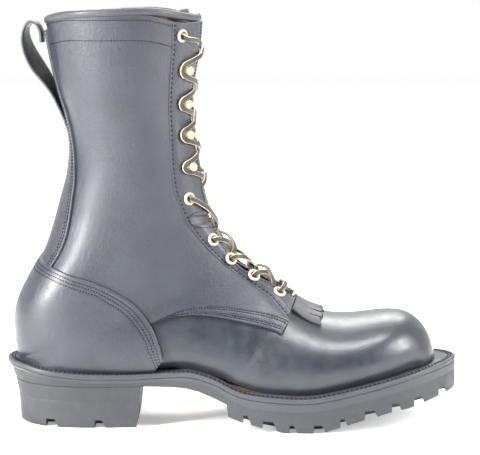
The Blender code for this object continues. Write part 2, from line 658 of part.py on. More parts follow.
def make_footbed():
    edge = under_upper(7.8, 4.8)
    slab("insole", SOLE_ROWS, welt_under(3.2), welt_under(0.2), edge, edge, TAN_LOOK)
    edge = under_upper(7.8, 7.0)
    x = SOLE_ROWS[SOLE_ROWS < BREAST_X - 0.5]
    slab("heel_pad", x, welt_under(5.0), welt_under(3.5), edge, edge, LINING_LOOK)
    edge = under_upper(6.0, 6.0)
    x = SOLE_ROWS[SOLE_ROWS > -18.0]
    slab("cork_filler", x, welt_under(-0.5), welt_under(WELT_BASE + GAP), edge, edge, CORK_LOOK)
    x = np.linspace(-108.0, -24.0, 15)
    make_bar("steel_shank", x, 8.0, welt_under(-1.2), welt_under(-3.6), STEEL_LOOK)


def make_bar(name, x, half_width, top, bottom, look):
    layers = []
    for height in (top, bottom):
        edges = [np.column_stack([x, x * 0 + y, height(x)]) for y in (-half_width, half_width)]
        layers.append(np.stack(edges, axis=1))
    return shell(name, layers[0], layers[1], look)


def box(name, centre, size, flare=0.0):
    """A box whose front bottom edge may stand forward."""
    x, y, z = np.array(size) / 2
    signs = [(i, j, k) for k in (-1, 1) for j in (-1, 1) for i in (-1, 1)]
    corners = np.array(signs) * (x, y, z) + centre
    corners[[1, 3], 0] += flare
    faces = [(0, 2, 3, 1), (4, 5, 7, 6), (0, 1, 5, 4), (2, 6, 7, 3), (0, 4, 6, 2), (1, 3, 7, 5)]
    return make_object(name, corners, faces, RUBBER_LOOK)


def notch_cutters(places, tread, depth, inset):
    """Wedges that cut the tread's side grooves: upright rear walls, slanted front walls."""
    cutters = []
    for x, width in places:
        for side in (-1, 1):
            line = edge_line(side, inset)
            edge = np.interp(x, line[:, 0], line[:, 1])
            middle = edge - side * (NOTCH_REACH / 2 - NOTCH_BESIDE)
            height = tread(x) + (depth - NOTCH_BELOW) / 2
            size = (width, NOTCH_REACH + 2 * NOTCH_BESIDE, depth + NOTCH_BELOW)
            cutters.append(box("notch_cutter", (x, middle, height), size, NOTCH_FLARE))
    return cutters


def tread(x):
    return np.interp(x, *zip(*ARCH_BOTTOM))


def outsole_top(x):
    return midsole_bottom(x) - GAP


def patch_top(x):
    return tread(x) - GAP


def patch_bottom(x):
    return patch_top(x) - 1.3


def make_sole():
    x = SOLE_ROWS
    waist = heel_taper(2.6)
    slab("midsole", x, welt_under(WELT_BASE - 2 * GAP), midsole_bottom, none, waist, RUBBER_LOOK)
    outsole = slab("outsole", x, outsole_top, tread, waist, heel_taper(5.6), RUBBER_LOOK)
    cut(outsole, notch_cutters(NOTCHES, tread, LUG_DEPTH, heel_taper(5.6)))
    x = np.array([-36.0, -33.0, -28.0, -23.0, -19.0])
    make_bar("arch_patch", x, 13.0, patch_top, patch_bottom, TAN_LOOK)
    make_heel_block()


SCREW_PLACES = [(-139.0, 0.0), (-117.0, -17.0), (-117.0, 17.0), (-80.0, 0.0)]
SCREW_PROFILE = [(0.0, 24.0), (1.6, 24.0), (1.6, 4.0), (3.2, 3.0), (3.2, 1.0), (0.0, 1.0)]
SCREW_HOLE = [(0.0, 24.6), (2.0, 24.6), (2.0, 4.3), (3.6, 3.2), (3.6, -2.0), (0.0, -2.0)]


def heel_top(x):
    return np.interp(x, *zip(*HEEL_PARTING)) - GAP


def lift_top(x):
    return none(x) + HEEL_LIFT_TOP - GAP


def base_bottom(x):
    return none(x) + HEEL_LIFT_TOP


def make_heel_block():
    x = SOLE_ROWS[SOLE_ROWS < BREAST_X]
    top, middle, low = heel_taper(5.6), heel_taper(7.6), heel_taper(9.0)
    base = slab("heel_base", x, heel_top, base_bottom, top, middle, RUBBER_LOOK)
    lift = slab("heel_lift", x, lift_top, none, middle, low, RUBBER_LOOK)
    holes = []
    for number, (px, py) in enumerate(SCREW_PLACES, 1):
        turned(f"heel_screw_{number}", SCREW_PROFILE, 12, STEEL_LOOK, (px, py, 0.0))
        holes.append(turned("screw_cutter", SCREW_HOLE, 12, STEEL_LOOK, (px, py, 0.0)))
    cut(lift, notch_cutters(HEEL_NOTCHES, none, LUG_DEPTH, low) + holes)
    cut(base, holes)


# --- Turned pieces ------------------------------------------------------------------------
def turned(name, profile, sides, look, place, axis=(0, 0, 1), stretch=1.0):
    """A profile of (radius, height) turned about the axis at place; closed rings keep a bore."""
    closed = profile[0][0] > 0
    frame = Vector(axis).to_track_quat("Z", "Y").to_matrix()
    verts, faces, rings = [], [], []
    for radius, height in profile:
        ring = []
        for k in range(sides if radius > 0 else 1):
            turn = 2 * np.pi * k / sides
            point = Vector((radius * np.cos(turn), stretch * radius * np.sin(turn), height))
            ring.append(len(verts))
            verts.append(np.array(frame @ point) + place)
        rings.append(ring)
    pairs = list(zip(rings, rings[1:])) + ([(rings[-1], rings[0])] if closed else [])
    for low, high in pairs:
        for k in range(sides):
            m = (k + 1) % sides
            if len(low) == 1:
                faces.append((low[0], high[k], high[m]))
            elif len(high) == 1:
                faces.append((low[k], low[m], high[0]))
            else:
                faces.append((low[k], low[m], high[m], high[k]))
    return make_object(name, verts, faces, look)


def skin_point(pair, side, out):
    """A point and the outward direction on one side of the boot."""
    u, a = pair[0], pair[1] * side
    return skin(u, a, out), last_normal(u, a)


EYELET_PROFILE = [(2.5, -4.2), (3.0, -4.2), (3.0, 0.6), (4.4, 0.6), (4.1, 1.4), (2.7, 1.4)]
HOOK_PROFILE = [
    (0.0, -3.0), (1.5, -3.0), (1.5, 0.4), (3.7, 0.4), (3.5, 1.1), (1.4, 1.3), (1.4, 5.0), (3.3, 5.4),
    (2.8, 6.8), (0.0, 7.2),
]


def make_hardware(facings):
    places = [("eyelet", p) for p in EYELET_PLACES] + [("hook", p) for p in HOOK_PLACES]
    for (side, flip), facing in zip(SIDES, facings):
        holes = []
        counts = {"eyelet": 0, "hook": 0}
        for kind, (x, z) in places:
            counts[kind] += 1
            pair = locate(x, z, FACING_OUT)
            point, axis = skin_point(pair, flip, FACING_OUT)
            profile = EYELET_PROFILE if kind == "eyelet" else HOOK_PROFILE
            look = CREAM_METAL_LOOK if kind == "eyelet" else BRASS_LOOK
            turned(f"{kind}_{side}_{counts[kind]}", profile, 8, look, point, axis)
            radius = EYELET_BARREL + 1.5 * GAP if kind == "eyelet" else 1.9
            hole = [(0.0, 3.0), (radius, 3.0), (radius, -6.0), (0.0, -6.0)]
            holes.append(turned("hole_cutter", hole, 8, look, point, axis))
        notch = box("flex_notch_cutter", (-19.0, -27.0 * flip, 144.6), (19.0, 26.0, 6.5))
        cut(facing, holes + [notch])


# --- Pull loop and lace -------------------------------------------------------------------
PULL_LOOP = [
    (-133.4, 267.4), (-134.0, 274.9), (-136.8, 280.4), (-141.2, 281.6), (-144.6, 277.4), (-145.0, 270.4),
    (-142.4, 261.4), (-137.4, 251.9), (-131.8, 243.9), (-127.6, 236.9), (-124.4, 229.9), (-122.0, 223.4),
]


def make_pull_loop(count=34):
    path = smooth_curve(PULL_LOOP, count)
    along = np.gradient(path, axis=0)
    along /= np.linalg.norm(along, axis=1, keepdims=True)
    share = np.linspace(0, 1, count)
    twist = 0.30 * np.sin(np.pi * np.clip((share - 0.12) / 0.7, 0, 1)) ** 2
    centre = np.column_stack([path[:, 0], np.zeros(count), path[:, 1]])
    normal = np.column_stack([-along[:, 1], np.zeros(count), along[:, 0]])
    across = np.array([0.0, 1.0, 0.0])
    wide = across * np.cos(twist)[:, None] + normal * np.sin(twist)[:, None]
    thick = normal * np.cos(twist)[:, None] - across * np.sin(twist)[:, None]
    layers = []
    for sign in (1, -1):
        face = centre + thick * sign * STRAP_THICK / 2
        edges = [face + wide * y for y in (-STRAP_WIDTH / 2, 0.0, STRAP_WIDTH / 2)]
        layers.append(np.stack(edges, axis=1))
    shell("pull_loop", layers[0], layers[1], LEATHER_LOOK)


# --- Lace ---------------------------------------------------------------------------------
LACE_WIDE = 1.2     # half sizes of its square section
LACE_THICK = 0.9
UNDER = -1.9         # heights of the lace's middle: under the facings, over them, over an eyelet
OVER = 7.7
OVER_EYELET = 10.0
ROUND_HOOK = 8.0


def lace_stations():
    """The rising row of eyelets and hooks as (kind, u, a)."""
    low = [("eyelet", *locate(x, z, FACING_OUT)) for x, z in EYELET_PLACES[:5]]
    hooks = [("hook", *locate(x, z, FACING_OUT)) for x, z in HOOK_PLACES]
    return low + hooks + [("eyelet", *locate(*EYELET_PLACES[5], FACING_OUT))]


def crossing(start, end, lift, heights):
    """(u, a, out) points from one side to the other; a changes sign on the way."""
    edge0, edge1 = (np.sign(a) * -edge_of_gap(u)[0] for u, a in (start, end))
    low, high = heights
    middle = (low + high) / 2 + lift
    outs = [low, (middle + low) / 2, middle, (middle + high) / 2, high]
    across = [edge0, edge0 * 0.55, 0.0, edge1 * 0.55, edge1]
    along = [start[0] + (end[0] - start[0]) * share for share in (0.12, 0.36, 0.5, 0.64, 0.88)]
    return list(zip(along, across, outs))


def strand(flip, lift):
    """Half the lace, from the middle of the lowest bar to its end inside the collar."""
    stations = lace_stations()
    _, u, a = stations[0]
    points = [(u, 0.0, UNDER), (u, a * flip * 0.5, UNDER), (u, a * flip * 0.93, UNDER + 0.3)]
    points += [(u, a * flip, 1.5), (u, a * flip, 5.6), (u - 0.02, a * flip * 0.94, OVER_EYELET)]
    points.append((u - 0.05, a * flip * 0.8, OVER_EYELET))
    here, below = (u, a * flip), False
    for number, (kind, u, a) in enumerate(stations[1:]):
        side = flip if number % 2 else -flip
        there = (u, a * side)
        heights = (UNDER if below else OVER + 0.4, OVER + 0.4)
        points += crossing(here, there, lift, heights)
        if kind == "eyelet":
            points += [(u + 0.05, a * side * 0.72, OVER_EYELET), (u + 0.02, a * side * 0.94, OVER_EYELET)]
            points += [(u + 0.01, a * side, 5.6), (u, a * side, 1.5)]
            points.append((u - 0.03, a * side * 0.95, UNDER + 0.2))
            below = True
        else:
            away = 1 + 0.033 / abs(a)
            points += [(u + 0.18, a * side, ROUND_HOOK), (u + 0.11, a * side * away, ROUND_HOOK)]
            points += [(u - 0.10, a * side * away, ROUND_HOOK), (u - 0.18, a * side, ROUND_HOOK)]
            below = False
        here = there
    u, a = here
    points[-1] = (u + 0.03, a * 1.06, UNDER)
    tucked = UNDER - 0.2
    return points + [(u + 0.35, a * 1.15, tucked), (u + 1.2, a * 1.2, tucked), (u + 2.2, a * 1.2, tucked)]


def make_lace():
    one, other = strand(1, 1.5), strand(-1, -1.5)
    route = other[:0:-1] + one
    centres = np.array([skin(u, a, out) for u, a, out in route])
    fine = catmull(centres, np.arange(0, len(centres) - 0.99, 0.5))
    along = np.gradient(fine, axis=0)
    along /= np.linalg.norm(along, axis=1, keepdims=True)
    up = np.array(last_normal(route[0][0], route[0][1]))
    layers = [[], []]
    for centre, ahead in zip(fine, along):
        across = np.cross(ahead, up)
        across /= np.linalg.norm(across)
        up = np.cross(across, ahead)
        for layer, sign in zip(layers, (1, -1)):
            face = centre + sign * up * LACE_THICK
            layer.append([face - across * LACE_WIDE, face + across * LACE_WIDE])
    shell("lace", np.array(layers[0]), np.array(layers[1]), LACE_LOOK)


def main():
    for old in list(bpy.data.objects):
        bpy.data.objects.remove(old)
    make_quarters()
    facings = make_facings()
    make_forefoot()
    make_heel()
    make_backstay()
    make_collar()
    make_tongue()
    make_kiltie()
    make_welt()
    make_footbed()
    make_sole()
    make_hardware(facings)
    make_pull_loop()
    make_lace()


main()
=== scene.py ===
"""Looks of the fire boot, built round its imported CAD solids.

The upper's pieces lie on the same last as the solids: u counts its sections from the collar to
the toe, a is the share of a half turn from the ridge, and heights above it are in millimetres.
"""

import bmesh
import bpy
import numpy as np
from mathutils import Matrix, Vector


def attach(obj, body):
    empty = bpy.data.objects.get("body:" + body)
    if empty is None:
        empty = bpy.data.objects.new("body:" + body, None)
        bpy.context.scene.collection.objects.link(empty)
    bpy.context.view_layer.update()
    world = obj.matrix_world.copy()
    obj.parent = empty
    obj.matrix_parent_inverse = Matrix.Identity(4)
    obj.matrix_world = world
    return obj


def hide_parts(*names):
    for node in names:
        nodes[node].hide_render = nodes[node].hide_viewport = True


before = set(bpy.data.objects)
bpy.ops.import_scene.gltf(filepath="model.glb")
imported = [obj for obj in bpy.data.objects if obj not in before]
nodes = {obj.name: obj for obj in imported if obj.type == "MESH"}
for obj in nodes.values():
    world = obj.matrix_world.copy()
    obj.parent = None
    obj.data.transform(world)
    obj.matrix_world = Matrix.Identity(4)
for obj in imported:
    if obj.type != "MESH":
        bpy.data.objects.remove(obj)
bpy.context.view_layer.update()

MM = 0.001
GAP = 0.3
WELT_LIFT = -0.6     # the welt's top face below the table of its heights
LEATHER = 2.0        # quarter leather
VAMP_THICK = 2.2
OVERLAY_LIFT = 3.5   # inner face of the counter, backstay and facing above the last surface
FACING_OUT = OVERLAY_LIFT + 1.5   # outer face of the facings above the last
WELT_THICK = 3.6
HEEL_LIFT_TOP = 19.5
LUG_DEPTH = 5.5
STRAP_WIDTH = 20.0
STRAP_THICK = 2.6
SECTIONS = [
    (-127.7, 281.4, -24.0, 286.4, 50.0, 50.0, 0.5, 0.0),
    (-124.3, 260.4, -25.8, 263.4, 48.0, 48.0, 0.5, 0.0),
    (-119.5, 237.4, -30.0, 239.4, 45.0, 45.0, 0.5, 0.0),
    (-113.5, 215.4, -31.8, 217.4, 41.5, 41.5, 0.5, 0.0),
    (-110.8, 194.4, -28.6, 196.4, 38.8, 38.8, 0.5, 0.0),
    (-112.8, 174.4, -24.6, 178.4, 36.8, 36.8, 0.5, 0.0),
    (-117.6, 156.4, -21.0, 162.4, 35.4, 35.4, 0.52, 0.0),
    (-123.0, 137.4, -15.5, 145.4, 34.6, 34.6, 0.54, 0.0),
    (-129.5, 119.4, -9.0, 133.4, 34.4, 34.4, 0.57, 0.0),
    (-140.0, 101.4, -3.2, 125.4, 34.4, 34.4, 0.6, 0.0),
    (-148.8, 82.4, 1.5, 119.4, 34.6, 34.6, 0.62, 0.0),
    (-150.2, 63.6, 6.0, 114.4, 34.8, 34.8, 0.63, 0.0),
    (-147.0, 46.9, 10.5, 110.4, 35.0, 34.8, 0.64, 0.0),
    (-133.0, 42.4, 14.5, 107.4, 35.5, 35.0, 0.66, 0.0),
    (-112.0, 40.2, 18.5, 105.1, 36.5, 35.0, 0.68, 0.5),
    (-88.0, 38.9, 22.5, 101.9, 37.5, 35.0, 0.7, 1.0),
    (-62.0, 39.3, 27.0, 98.4, 38.5, 35.5, 0.7, 1.5),
    (-36.0, 40.9, 32.0, 94.0, 40.0, 37.0, 0.71, 2.0),
    (-10.0, 35.9, 38.5, 89.4, 43.5, 40.5, 0.72, 2.5),
    (16.0, 27.2, 47.0, 83.9, 47.0, 44.5, 0.73, 3.0),
    (38.0, 24.9, 57.0, 78.6, 49.0, 46.8, 0.74, 3.5),
    (58.0, 25.4, 70.0, 75.0, 49.5, 47.5, 0.75, 4.0),
    (76.0, 28.4, 84.0, 74.4, 48.5, 47.5, 0.76, 4.5),
    (92.0, 31.6, 98.0, 75.8, 45.5, 46.0, 0.77, 5.0),
    (104.0, 34.2, 111.0, 77.0, 42.0, 43.6, 0.79, 5.5),
    (113.0, 36.3, 122.0, 75.9, 38.4, 41.0, 0.82, 6.0),
    (120.0, 37.9, 131.0, 71.4, 35.0, 38.2, 0.86, 6.0),
    (125.0, 38.9, 138.5, 62.9, 32.0, 35.6, 0.92, 6.0),
    (128.0, 39.5, 143.0, 52.8, 30.0, 33.8, 0.97, 6.0),
    (129.0, 39.7, 144.8, 44.9, 29.3, 33.0, 0.999, 6.0),
]
HEEL_SECTION = 12    # the first section that is open along the bottom
TOE_SECTION = len(SECTIONS) - 1
FRONT_POWER = 2.0 / 2.15
FULLEST = 0.94       # the most that the edge takes up of a section's half width
FEATHER = [
    (-147.2, 0.0, 0.0), (-146.2, 7.5, 7.5), (-142.5, 16.0, 16.0), (-135.5, 24.0, 23.8),
    (-125.0, 30.0, 29.3), (-110.0, 33.0, 31.6), (-92.0, 32.8, 30.6), (-72.0, 31.5, 28.0),
    (-52.0, 31.0, 25.6), (-32.0, 32.5, 25.4), (-12.0, 36.5, 28.6), (8.0, 41.8, 34.6),
    (26.0, 45.6, 40.0), (44.0, 47.4, 44.0), (62.0, 47.4, 46.2), (80.0, 45.2, 46.6),
    (98.0, 40.8, 45.0), (113.0, 34.0, 41.0), (126.0, 24.5, 34.6), (136.0, 13.0, 26.5),
    (142.5, 2.0, 16.5), (144.8, -6.0, 6.0),
]
WELT_TOP = [
    (-162.0, 46.2), (-147.0, 45.0), (-135.0, 42.6), (-122.0, 41.0), (-100.0, 39.0), (-75.0, 38.5),
    (-60.0, 39.0), (-45.0, 40.0), (-30.0, 40.4), (-20.0, 38.3), (-10.0, 34.9), (0.0, 30.0),
    (10.0, 27.0), (25.0, 25.4), (45.0, 24.4), (58.0, 25.1), (72.0, 27.5), (88.0, 30.8),
    (110.0, 35.6), (132.0, 40.4), (146.0, 43.3), (162.0, 45.4),
]


def catmull(rows, at):
    """Rows of numbers read at real indices, along a Catmull-Rom curve."""
    rows = np.asarray(rows, float)
    at = np.atleast_1d(np.asarray(at, float))
    low = np.clip(np.floor(at).astype(int), 0, len(rows) - 2)
    f = (at - low)[:, None]
    padded = np.vstack([2 * rows[0] - rows[1], rows, 2 * rows[-1] - rows[-2]])
    a, b, c, d = padded[low], padded[low + 1], padded[low + 2], padded[low + 3]
    square = (2 * a - 5 * b + 4 * c - d) * f**2
    cube = (3 * b - a - 3 * c + d) * f**3
    return 0.5 * (2 * b + (c - a) * f + square + cube)


def distance_along(points):
    """Running length of a polyline, from 0 at its first point."""
    return np.concatenate([[0], np.cumsum(np.linalg.norm(np.diff(points, axis=0), axis=1))])


def read_at(at, run, rows):
    """Rows of numbers read at lengths along a line whose running lengths are run."""
    return np.stack([np.interp(at, run, column) for column in rows.T], axis=-1)


def smooth_curve(points, count):
    """Count points evenly spaced along a smooth curve through the given ones."""
    points = np.asarray(points, float)
    dense = catmull(points, np.linspace(0, len(points) - 1, 20 * len(points)))
    run = distance_along(dense)
    at = np.linspace(0, run[-1], count)
    return read_at(at, run, dense)


def step(x, low, high):
    """0 below low, 1 above high, smooth between."""
    f = np.clip((np.asarray(x, float) - low) / (high - low), 0, 1)
    return f * f * (3 - 2 * f)

FEATHER_FINE = catmull(FEATHER, np.linspace(0, len(FEATHER) - 1, 400))
WELT_FINE = catmull(WELT_TOP, np.linspace(0, len(WELT_TOP) - 1, 300))


def feather_half(x, side):
    column = 1 if side < 0 else 2
    return np.interp(x, FEATHER_FINE[:, 0], FEATHER_FINE[:, column])


def welt_top(x):
    return np.interp(x, WELT_FINE[:, 0], WELT_FINE[:, 1])


def girth(u, side):
    """A section's half width on one side, and the half turn's share at which it meets the welt."""
    row = catmull(SECTIONS, u).T
    edge = np.where(side < 0, feather_half(row[0], -1) + row[7], feather_half(row[0], 1) - row[7])
    edge = np.where(u > HEEL_SECTION, np.clip(edge, 0, None), 0)
    half = np.maximum(np.where(side < 0, row[4], row[5]), edge / FULLEST)
    return half, 1 - np.arcsin(edge / half) / np.pi


def last_surface(u, a):
    """Points of the last: u is the section, a the share of a half turn, lateral < 0."""
    u, a = np.broadcast_arrays(np.asarray(u, float), np.asarray(a, float))
    shape = u.shape
    u, a = u.ravel(), a.ravel()
    back_x, back_z, ridge_x, ridge_z, _, _, widest, ridge_y = catmull(SECTIONS, u).T
    side = np.where(a < 0, -1.0, 1.0)
    half, end = girth(u, side)
    angle = np.abs(a) * np.pi
    cosine = np.abs(np.cos(angle))
    back_power = 2.0 / (2.15 + 0.85 * step(u, 6, 10))
    front = widest * (1 - cosine**FRONT_POWER)
    down = widest + (1 - widest) * (cosine / np.abs(np.cos(end * np.pi))) ** back_power
    share = np.where(angle < np.pi / 2, front, down)
    x = ridge_x + (back_x - ridge_x) * share
    z = ridge_z + (back_z - ridge_z) * share
    return np.stack([x, ridge_y + side * half * np.sin(angle), z], axis=-1).reshape(shape + (3,))


def last_normal(u, a):
    """Outward unit normals of the last."""
    u, a = np.broadcast_arrays(np.asarray(u, float), np.asarray(a, float))
    du, da = 0.02, 0.004
    ahead, behind = np.minimum(u + du, TOE_SECTION), np.maximum(u - du, -1)
    along = last_surface(ahead, a) - last_surface(behind, a)
    across = last_surface(u, np.minimum(a + da, 1)) - last_surface(u, np.maximum(a - da, -1))
    normal = np.cross(along, across)
    return normal / np.linalg.norm(normal, axis=-1, keepdims=True)


def skin(u, a, out):
    """Points at the height out above the last."""
    return last_surface(u, a) + last_normal(u, a) * np.asarray(out, float)[..., None]


def meet(x, z):
    """The (u, a) of the last's lateral point that is seen at (x, z) from the side."""
    sections = np.linspace(0, TOE_SECTION, 581)
    rows = catmull(SECTIONS, sections)
    back, ridge = rows[:, :2], rows[:, 2:4]
    chord = back - ridge
    reach = np.array([x, z]) - ridge
    miss = chord[:, 0] * reach[:, 1] - chord[:, 1] * reach[:, 0]
    share = (reach * chord).sum(axis=1) / (chord * chord).sum(axis=1)
    changes = np.nonzero(miss[:-1] * miss[1:] <= 0)[0]
    nearby = [i for i in changes if -0.3 < share[i] < 1.3] or [int(np.abs(miss[:-1]).argmin())]
    i = min(nearby, key=lambda k: abs(share[k] - 0.5))
    change = miss[i] - miss[i + 1]
    f = np.clip(miss[i] / change, 0, 1) if change else 0.0
    u = sections[i] + f * (sections[1] - sections[0])
    want = np.clip(share[i] + f * (share[i + 1] - share[i]), 0, 1)
    across = np.linspace(-girth(np.array([u]), -1)[1][0], 0, 801)
    line = catmull(SECTIONS, u)[0]
    reached = (last_surface(u, across)[:, [0, 2]] - line[2:4]) @ (line[:2] - line[2:4])
    reached = reached / ((line[:2] - line[2:4]) ** 2).sum()
    return u, float(np.interp(-want, -reached, across))


def locate(x, z, out=0.0):
    """The same for a point at the height out above the last."""
    goal = np.array([x, z])
    aim = goal
    for _ in range(4 if out else 1):
        u, a = meet(*aim)
        aim = aim + 0.8 * (goal - skin(u, a, out)[[0, 2]])
    return u, a


def trace(points, count, out=0.0):
    """Count (u, a) pairs on the lateral side, along a smooth line seen through (x, z)."""
    return np.array([locate(x, z, out) for x, z in smooth_curve(points, count)])

TOP_U = 0.17         # section at which the quarters end, under the binding
FACING_REAR = [
    (-39.9, 282.0), (-40.4, 265.0), (-42.0, 244.0), (-43.0, 223.0), (-42.5, 202.0), (-41.6, 181.0),
    (-39.6, 165.0), (-36.1, 155.5), (-32.7, 147.0), (-27.0, 137.5), (-18.2, 126.0), (-3.9, 111.6),
    (12.7, 99.6), (26.3, 90.7), (33.2, 83.6), (38.6, 77.4),
]
QUARTER_BOTTOM = [
    (-140.0, 62.0), (-118.0, 58.0), (-95.0, 58.0), (-75.0, 63.0), (-55.2, 72.8), (-42.4, 77.6),
    (-28.4, 79.2), (-14.4, 78.3), (-0.3, 76.0), (13.6, 73.2), (27.8, 69.9), (34.1, 67.3),
]
QUARTER_TAB = [(41.6, 83.2), (40.4, 77.7), (37.6, 72.0), (34.1, 67.3)]
COUNTER_EDGE = [
    (-133.2, 115.0), (-127.0, 112.6), (-110.3, 106.6), (-92.9, 101.0), (-80.4, 95.0), (-69.6, 87.8),
    (-61.0, 78.5), (-54.8, 68.8), (-50.7, 58.0), (-48.0, 48.5),
]
COUNTER_BACK_U = 8.15
VAMP_REAR = [
    (-68.0, 46.0), (-66.0, 60.0), (-56.0, 82.0), (-40.0, 89.0), (-16.0, 90.0), (8.0, 85.0),
    (26.0, 81.0), (37.0, 82.0),
]
VAMP_THROAT_U = 18.95
BACKSTAY_WIDTH = [(0.0, 10.0), (3.7, 17.0), (5.1, 22.0), (7.0, 26.0), (9.0, 27.5)]
GAP_HALF = 13.0      # half the opening between the facings
FACING_LAP = 3.8
EYELET_PLACES = [
    (33.2, 92.7), (15.1, 104.5), (-1.0, 116.4), (-13.5, 130.4), (-29.9, 159.8), (-34.1, 272.6),
]
HOOK_PLACES = [(-30.9, 181.8), (-33.0, 203.6), (-34.3, 226.0), (-33.0, 249.6)]
SIDES = (("lateral", 1), ("medial", -1))


def half_at(u):
    """Half widths of the last on the lateral side."""
    return catmull(SECTIONS, u)[:, 4]


def edge_of_gap(u, half_gap=GAP_HALF):
    """The a of a line that keeps a set distance from the ridge."""
    u = np.atleast_1d(u)
    return -np.arcsin(half_gap / girth(u, -1)[0]) / np.pi


def along_skin(pairs, shares, out):
    """(u, a) pairs at shares of the length of a line drawn on the leather."""
    points = skin(pairs[:, 0], pairs[:, 1], out)
    run = distance_along(points)
    return read_at(shares * run[-1], run, pairs)


def facing_borders(rows):
    """The facing's rear edge and its edge at the gap, as (u, a) pairs from the top down."""
    rear = trace(FACING_REAR, rows, 4.0)
    rear[0, 0] = TOP_U
    front_u = np.linspace(TOP_U, 18.6, rows)
    return rear, np.stack([front_u, edge_of_gap(front_u)], axis=-1)


def counter_edge(count):
    """The counter's upper edge as (u, a) pairs, from the back seam to the lateral welt."""
    side = trace(COUNTER_EDGE, count - 2, 4.5)
    seam = np.array([COUNTER_BACK_U, -1.0])
    return np.concatenate([[seam, (seam + side[0]) / 2], side])

TONGUE_TOP_U = -0.28
TONGUE_HALF = [
    (-0.5, 46.0), (0.6, 44.0), (3.0, 32.0), (6.0, 27.0), (12.0, 25.0), (17.5, 22.0), (18.4, 17.0),
]
TONGUE_DEPTH = [(-0.5, 6.5), (3.0, 6.0), (7.0, 5.0), (12.0, 4.8), (18.4, 4.8)]
BREAST_X = -62.5     # front face of the heel
SOLE_BOTTOM = [
    (-64.0, 29.2), (-44.0, 29.2), (-33.0, 28.7), (-23.0, 26.4), (-13.0, 22.6), (-4.0, 18.6),
]
TREAD = [
    (-3.0, 10.0), (6.5, 6.6), (20.0, 3.3), (29.0, 1.5), (39.0, 0.0), (62.0, 0.0), (68.0, 2.0),
    (91.0, 8.5), (110.0, 12.7), (124.0, 14.6), (141.0, 18.8), (158.0, 21.8),
]
HEEL_PARTING = [(-162.0, 30.3), (-130.0, 29.6), (-98.0, 29.2), (-60.0, 29.2)]
ARCH_BOTTOM = HEEL_PARTING[:-1] + SOLE_BOTTOM + TREAD
NOTCHES = [
    (9.0, 3.0), (24.6, 7.0), (41.0, 3.0), (59.0, 5.8), (76.0, 3.0), (95.0, 6.8), (113.0, 4.8),
    (129.7, 5.5), (147.0, 5.0),
]
HEEL_NOTCHES = [(-127.5, 6.0), (-93.5, 5.0)]
NOTCH_REACH = 14.0   # length across the boot, part of it beside the edge
NOTCH_BESIDE = 4.0
NOTCH_BELOW = 6.0
NOTCH_FLARE = 5.0    # how far a groove's front wall slants forward


def margin(x):
    """How far the sole's edge stands out from where the upper meets the welt."""
    return 8.2 + 3.3 * (1 - step(x, -150, -60)) + 2.8 * step(x, 70, 150)


def edge_line(side, inset):
    """A plan line beside the upper's welt line, heel to toe; inset is taken off the margin."""
    rows = FEATHER_FINE
    line = np.stack([rows[:, 0], side * rows[:, 1 if side < 0 else 2]], axis=-1)
    along = np.gradient(line, axis=0)
    along[0], along[-1] = (0, side), (0, -side)
    along /= np.linalg.norm(along, axis=1, keepdims=True)
    out = np.stack([-along[:, 1], along[:, 0]], axis=-1) * side
    return line + out * (margin(line[:, 0]) - inset(line[:, 0]))[:, None]


def heel_taper(amount):
    """An inset that grows towards the heel's back."""
    return lambda x: amount * (0.35 + 0.65 * (1 - step(x, -150, -70))) * (1 - step(x, -70, -30))


def under_upper(forefoot, heel):
    """An inset measured inwards from the welt line itself."""
    return lambda x: margin(x) + heel + (forefoot - heel) * step(x, -80, -55)


def rows_between(start, end, count, extra):
    """Stations along the boot, closer together towards its rounded ends."""
    t = np.linspace(0, 1, count)
    share = t**1.9 * (1 - t) + (1 - (1 - t) ** 1.9) * t
    return np.unique(np.round(np.concatenate([start + (end - start) * share, extra]), 3))


def plan_edges(x, inset):
    """Points of the lateral and medial edge at stations x, fitted to a line that may be shorter."""
    edges = []
    lines = [edge_line(side, inset) for side in (-1, 1)]
    heel, toe = lines[0][0, 0] + 0.12, lines[0][-1, 0] - 0.12
    wide = edge_line(-1, none)
    back, front = wide[0, 0] + 0.12, wide[-1, 0] - 0.12
    near_heel = 1 - step(x, back, back + 45)
    near_toe = step(x, front - 45, front)
    x = x + (heel - back) * near_heel + (toe - front) * near_toe
    for line in lines:
        edges.append(np.stack([x, np.interp(x, line[:, 0], line[:, 1])], axis=-1))
    return edges


def none(x):
    return 0.0 * x


def welt_under(lift):
    return lambda x: welt_top(x) + lift

WELT_BASE = WELT_LIFT - WELT_THICK
WELT_TUCK = 3.0      # how far the welt reaches in under the upper
HEEL_END = -158.5
TOE_END = 155.5
CORNERS = (-64.0, -60.0, -44.0, -33.0, -23.0, -13.0, -4.0, -3.0, 39.0, 62.0)


def midsole_bottom(x):
    return welt_top(x) + WELT_BASE - GAP - 2.2 - 3.0 * step(x, -25, 15)


def tread(x):
    return np.interp(x, *zip(*ARCH_BOTTOM))


def heel_top(x):
    return np.interp(x, *zip(*HEEL_PARTING)) - GAP


def skin_point(pair, side, out):
    """A point and the outward direction on one side of the boot."""
    u, a = pair[0], pair[1] * side
    return skin(u, a, out), last_normal(u, a)

PULL_LOOP = [
    (-133.4, 267.4), (-134.0, 274.9), (-136.8, 280.4), (-141.2, 281.6), (-144.6, 277.4),
    (-145.0, 270.4), (-142.4, 261.4), (-137.4, 251.9), (-131.8, 243.9), (-127.6, 236.9),
    (-124.4, 229.9), (-122.0, 223.4),
]


def lace_stations():
    """The rising row of eyelets and hooks as (kind, u, a)."""
    low = [("eyelet", *locate(x, z, FACING_OUT)) for x, z in EYELET_PLACES[:5]]
    hooks = [("hook", *locate(x, z, FACING_OUT)) for x, z in HOOK_PLACES]
    return low + hooks + [("eyelet", *locate(*EYELET_PLACES[5], FACING_OUT))]


